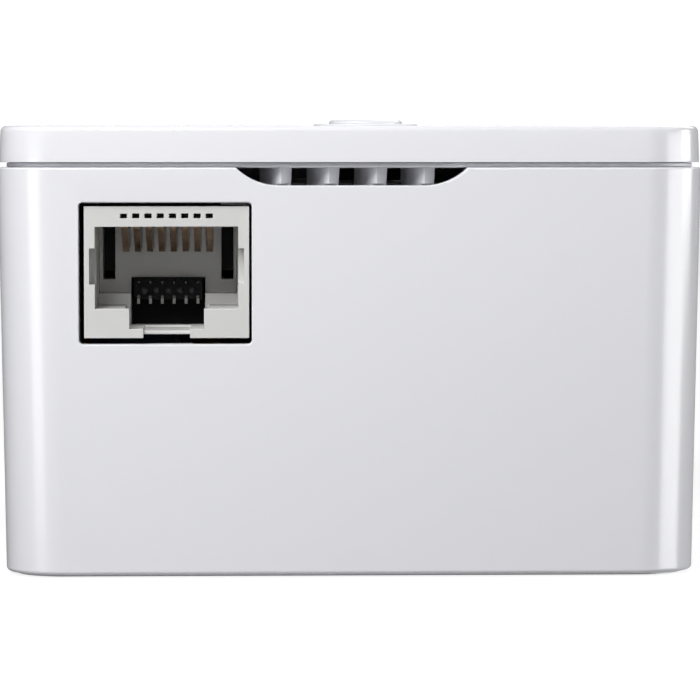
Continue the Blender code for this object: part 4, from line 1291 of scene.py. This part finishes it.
# %% [markdown]
# ## The folding plug
#
# The blades fold into a pocket in the back. The pocket is carved as the real moulding is
# cored: a trough for the barrel, two slots for the blades, a round for the blades' heels
# and a scoop for a fingertip. The barrel has a ribbed grip between the blades. Each blade
# is stamped from plate, with a hole near its tip and eased edges.

# %% Carve the pocket
FOLD = next(joint for joint in frame["joints"] if joint["name"] == "plug_fold")
AXIS_Y, AXIS_Z = FOLD["pos_m"][1], FOLD["pos_m"][2]
BARREL_LOW, BARREL_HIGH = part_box("plug_carrier")
BARREL_R = 3.4 * MM
BARREL_HALF = 9.4 * MM
PIVOT_R = 1.6 * MM
BLADES = {"left": middle("plug_blade_left").x, "right": middle("plug_blade_right").x}
BLADE_LOW, BLADE_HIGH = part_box("plug_blade_right")
BLADE_T = BLADE_HIGH.x - BLADE_LOW.x
SLOT_HALF = 1.15 * MM
REACH = AXIS_Y - BLADE_LOW.y


def cross_rod(name, y, z, radius, low_x, high_x, steps=48):
    return prism(name, circle((y, z), radius, steps), "x", low_x, high_x)


def pocket_block(grow_low, z_low, z_high, extra=0.0):
    outline = rounded_outline(POCKET_X + extra, pocket_half + extra, POCKET_CORNER + extra, 5)
    rings = []
    for z, shrink in ((z_low, grow_low), (z_low + grow_low, 0.0), (z_high, 0.0)):
        scale = 1 - shrink / POCKET_X
        rings.append([(x * scale, pocket_mid + y * scale, z) for x, y in outline])
    return loft("pocket_body", rings)


pocket = pocket_block(0.12 * MM, 0.0, WELL_HIGH.z)
join(pocket, pocket_block(0.05 * MM, 2.28 * MM, 3.6 * MM, extra=1.8 * MM))
gap = 0.3 * MM
pocket_cuts = [
    cross_rod("trough", AXIS_Y, AXIS_Z, BARREL_R + gap, -BARREL_HALF - gap, BARREL_HALF + gap),
    block(
        "trough_mouth",
        (-BARREL_HALF - gap, AXIS_Y - BARREL_R - gap, -MM),
        (BARREL_HALF + gap, AXIS_Y + BARREL_R + gap, AXIS_Z),
    ),
    cross_rod("pivot_holes", AXIS_Y, AXIS_Z, PIVOT_R + 0.12 * MM, BARREL_LOW.x - gap, BARREL_HIGH.x + gap),
    cross_rod("scoop", AXIS_Y - REACH - 1.2 * MM, 3.3 * MM - 9 * MM, 9 * MM, -9.4 * MM, 9.4 * MM, steps=96),
]
for name, x in BLADES.items():
    low = (x - SLOT_HALF, BLADE_LOW.y - 0.8 * MM, -MM)
    high = (x + SLOT_HALF, AXIS_Y, BLADE_HIGH.z + 0.4 * MM)
    pocket_cuts.append(block(f"slot_{name}", low, high))
    pocket_cuts.append(cross_rod(f"heel_{name}", AXIS_Y, AXIS_Z, 4.95 * MM, x - SLOT_HALF, x + SLOT_HALF))
carve(pocket, *pocket_cuts)
ease(pocket, 0.1 * MM, angle=50)
show(smooth(pocket), "plug_well")
print("pocket carved,", len(pocket.data.polygons), "faces")

# %% [markdown]
# The barrel's grip needs a section that isn't round, so it is a prism whose outline dips
# in six grooves. The blades' necks are let into it. A blade is flat plate, so its outline
# is extruded, drilled and then eased all round.

# %% Turn the barrel and stamp the blades
def ribbed_barrel():
    """The barrel's section, with six shallow grip grooves on the side that faces out."""
    outline = []
    steps = 144
    for i in range(steps):
        angle = 2 * math.pi * i / steps
        groove = 0.0
        if math.pi * 1.12 < angle < math.pi * 1.88:
            groove = 0.12 * MM * (0.5 - 0.5 * math.cos(angle * 36))
        radius = BARREL_R - groove
        outline.append((AXIS_Y + radius * math.cos(angle), AXIS_Z + radius * math.sin(angle)))
    return outline


barrel = prism("plug_barrel", ribbed_barrel(), "x", -4.6 * MM, 4.6 * MM)
shoulders = cross_rod("shoulder", AXIS_Y, AXIS_Z, BARREL_R, -BARREL_HALF, BARREL_HALF, steps=72)
core = cross_rod("pivot_core", AXIS_Y, AXIS_Z, PIVOT_R, BARREL_LOW.x, BARREL_HIGH.x)
gap_low, gap_high = (-4.5 * MM, AXIS_Y - 5 * MM, -5 * MM), (4.5 * MM, AXIS_Y + 5 * MM, 15 * MM)
carve(shoulders, block("mid_gap", gap_low, gap_high))
join(barrel, shoulders, core)
neck_slots = []
for name, x in BLADES.items():
    low = (x - BLADE_T / 2 - 0.05 * MM, AXIS_Y - 6 * MM, AXIS_Z - 1.58 * MM)
    high = (x + BLADE_T / 2 + 0.05 * MM, AXIS_Y + 6 * MM, AXIS_Z + 1.58 * MM)
    neck_slots.append(block(f"neck_slot_{name}", low, high))
carve(barrel, *neck_slots)
show(smooth(barrel, 35), "plug_carrier")

TIP_HOLE_R = 1.5 * MM


def stamp_blade(name, node):
    low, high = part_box(node)
    half, neck = (high.z - low.z) / 2, 1.5 * MM
    tip, shoulder, heel = low.y, AXIS_Y - 3.7 * MM, high.y
    cut_back = heel - 0.6 * MM
    lower = [
        (heel, AXIS_Z - neck * 0.5), (cut_back, AXIS_Z - neck),
        (shoulder, AXIS_Z - neck), (shoulder, AXIS_Z - half),
    ]
    nose_r, nose_steps = 1.3 * MM, 8
    bend = [math.pi / 2 * (step / nose_steps) for step in range(nose_steps + 1)]
    rise = [(nose_r * (1 - math.sin(a)), nose_r * (1 - math.cos(a))) for a in bend]
    nose = [(tip + back, AXIS_Z - half + up) for back, up in rise]
    nose += [(tip + up, AXIS_Z + half - back) for back, up in rise]
    upper = [
        (shoulder, AXIS_Z + half), (shoulder, AXIS_Z + neck),
        (cut_back, AXIS_Z + neck), (heel, AXIS_Z + neck * 0.5),
    ]
    blade = prism(name, lower + nose + upper, "x", low.x, high.x)
    hole = cross_rod("tip_hole", tip + 4.2 * MM, AXIS_Z, TIP_HOLE_R, low.x - MM, high.x + MM, steps=40)
    carve(blade, hole)
    return ease(blade, 0.22 * MM, segments=3, angle=50)


for name in BLADES:
    node = f"plug_blade_{name}"
    show(smooth(stamp_blade(f"stamped_blade_{name}", node)), node)
print("blades stamped, reach", round(REACH / MM, 1), "mm from the axis")

# %% [markdown]
# ## What the case holds
#
# The pieces inside are carried over from the frame with better surfaces: a small bevel
# takes the knife edges off every block, and each keeps the finish of its slot. Bevels are
# modifiers here, because the frame's own meshes stay as they are.

# %% Finish the carried-over pieces
SHOWN_ALREADY = {node for node in frame["nodes"] if frame["nodes"][node].hide_render}
carried = [node for node in sorted(frame["nodes"]) if node not in SHOWN_ALREADY]
for node in carried:
    piece = frame["nodes"][node]
    piece.data.materials.clear()
    piece.data.materials.append(FINISH[SLOTS[node]])
    low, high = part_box(node)
    thinnest = min(high - low)
    edge = piece.modifiers.new("eased_edges", "BEVEL")
    edge.width = min(0.15 * MM, thinnest * 0.12)
    edge.segments = 2
    edge.limit_method = "ANGLE"
    edge.angle_limit = math.radians(50)
print("carried over:", carried)

# %% [markdown]
# ## Floor and light
#
# The adapter lies on a pale table. The table and the air above it are kept near white for
# the camera, as a light table does, while the light that reaches the adapter comes from
# the sky colour and seven soft boxes. A broad one hangs above the front, slightly to the
# left, and a weak card fills from the front. Two narrow ones only draw the bright lines down
# the rounded corners. One lights the right-hand side, one the far end, and one the back with
# its plug. The table is clear from below, so that the plug can be looked at too.

# %% Lay the floor
FLOOR_HALF = 2.5
FLOOR_Z = -0.0001


def mix_shaders(tree, factor, first, second):
    mixed = feed(tree, add(tree, "ShaderNodeMixShader"), Fac=factor)
    tree.links.new(first, mixed.inputs[1])
    tree.links.new(second, mixed.inputs[2])
    return mixed.outputs[0]


def make_floor():
    bm = bmesh.new()
    corners = ((-1, -1), (1, -1), (1, 1), (-1, 1))
    bm.faces.new([bm.verts.new((x * FLOOR_HALF, y * FLOOR_HALF, FLOOR_Z)) for x, y in corners])
    floor = piece_from("pale_table", bm)
    made, tree, shader = start_material("pale_table_top")
    feed(tree, shader, Base_Color=(0.25, 0.25, 0.25, 1), Roughness=0.9)
    glow = feed(tree, add(tree, "ShaderNodeEmission"), Strength=0.78)
    both = add(tree, "ShaderNodeAddShader")
    tree.links.new(shader.outputs[0], both.inputs[0])
    tree.links.new(glow.outputs[0], both.inputs[1])
    camera_ray = add(tree, "ShaderNodeLightPath").outputs["Is Camera Ray"]
    seen = mix_shaders(tree, camera_ray, shader.outputs[0], both.outputs[0])
    below = add(tree, "ShaderNodeNewGeometry").outputs["Backfacing"]
    clear = add(tree, "ShaderNodeBsdfTransparent").outputs[0]
    feed(tree, tree.nodes["Material Output"], Surface=mix_shaders(tree, below, seen, clear))
    floor.data.materials.append(made)
    floor.visible_glossy = False
    floor.visible_shadow = False
    return floor


make_floor()
print("table laid,", 2 * FLOOR_HALF, "m square")

# %% Set the sky
SKY_FOR_OBJECT = 0.10
SKY_FOR_CAMERA = 1.05
sky = bpy.data.worlds.new("studio_air")
sky.use_nodes = True
bpy.context.scene.world = sky
sky_tree = sky.node_tree
air = feed(sky_tree, sky_tree.nodes["Background"], Color=(0.985, 0.99, 1.0, 1), Strength=SKY_FOR_OBJECT)
white = feed(sky_tree, add(sky_tree, "ShaderNodeBackground"), Color=WHITE, Strength=SKY_FOR_CAMERA)
ray = add(sky_tree, "ShaderNodeLightPath").outputs["Is Camera Ray"]
seen_sky = mix_shaders(sky_tree, ray, air.outputs[0], white.outputs[0])
feed(sky_tree, sky_tree.nodes["World Output"], Surface=seen_sky)
print("sky:", sky.name)


# %% Hang the soft boxes
def soft_box(name, target, azimuth, elevation, distance, wide, tall, radiance, use="both"):
    """An area light aimed at a point, its power worked out from the radiance it should show.
    A gleam only adds to reflections, and a fill only adds to plain shading."""
    a, e = math.radians(azimuth), math.radians(elevation)
    away = Vector((math.sin(a) * math.cos(e), -math.cos(a) * math.cos(e), math.sin(e)))
    light = bpy.data.lights.new(name, "AREA")
    light.shape = "RECTANGLE"
    light.size, light.size_y = wide, tall
    light.energy = radiance * math.pi * wide * tall
    lamp = bpy.data.objects.new(name, light)
    bpy.context.scene.collection.objects.link(lamp)
    lamp.location = Vector(target) + away * distance
    lamp.rotation_mode = "QUATERNION"
    lamp.rotation_quaternion = (-away).to_track_quat("-Z", "Y")
    lamp.visible_camera = False
    lamp.visible_diffuse = use != "gleam"
    lamp.visible_glossy = use != "fill"


MID = RIM / 2
soft_box("left_strip", (-HALF_W, -HALF_L, MID), -46, -2, 0.30, 0.12, 0.08, 4.8, use="gleam")
soft_box("right_strip", (HALF_W, -HALF_L, MID), 69, -2, 0.32, 0.25, 0.14, 6.3, use="gleam")
soft_box("right_side", (HALF_W, -HALF_L, MID), 98, 10, 0.50, 0.20, 0.20, 11.0)
soft_box("front_top", (-HALF_W, -HALF_L, MID), -24, 43, 0.28, 0.178, 0.178, 9.7)
soft_box("front_card", (0, -HALF_L, MID), 2, 12, 0.45, 0.24, 0.26, 0.7)
soft_box("back_top", (0, HALF_L, MID), 150, 45, 0.60, 0.45, 0.45, 2.2)
soft_box("under_fill", (0, 0, 0), 160, -50, 0.45, 0.40, 0.40, 3.6, use="fill")
bpy.context.scene.view_settings.view_transform = "Standard"
print("soft boxes hung")
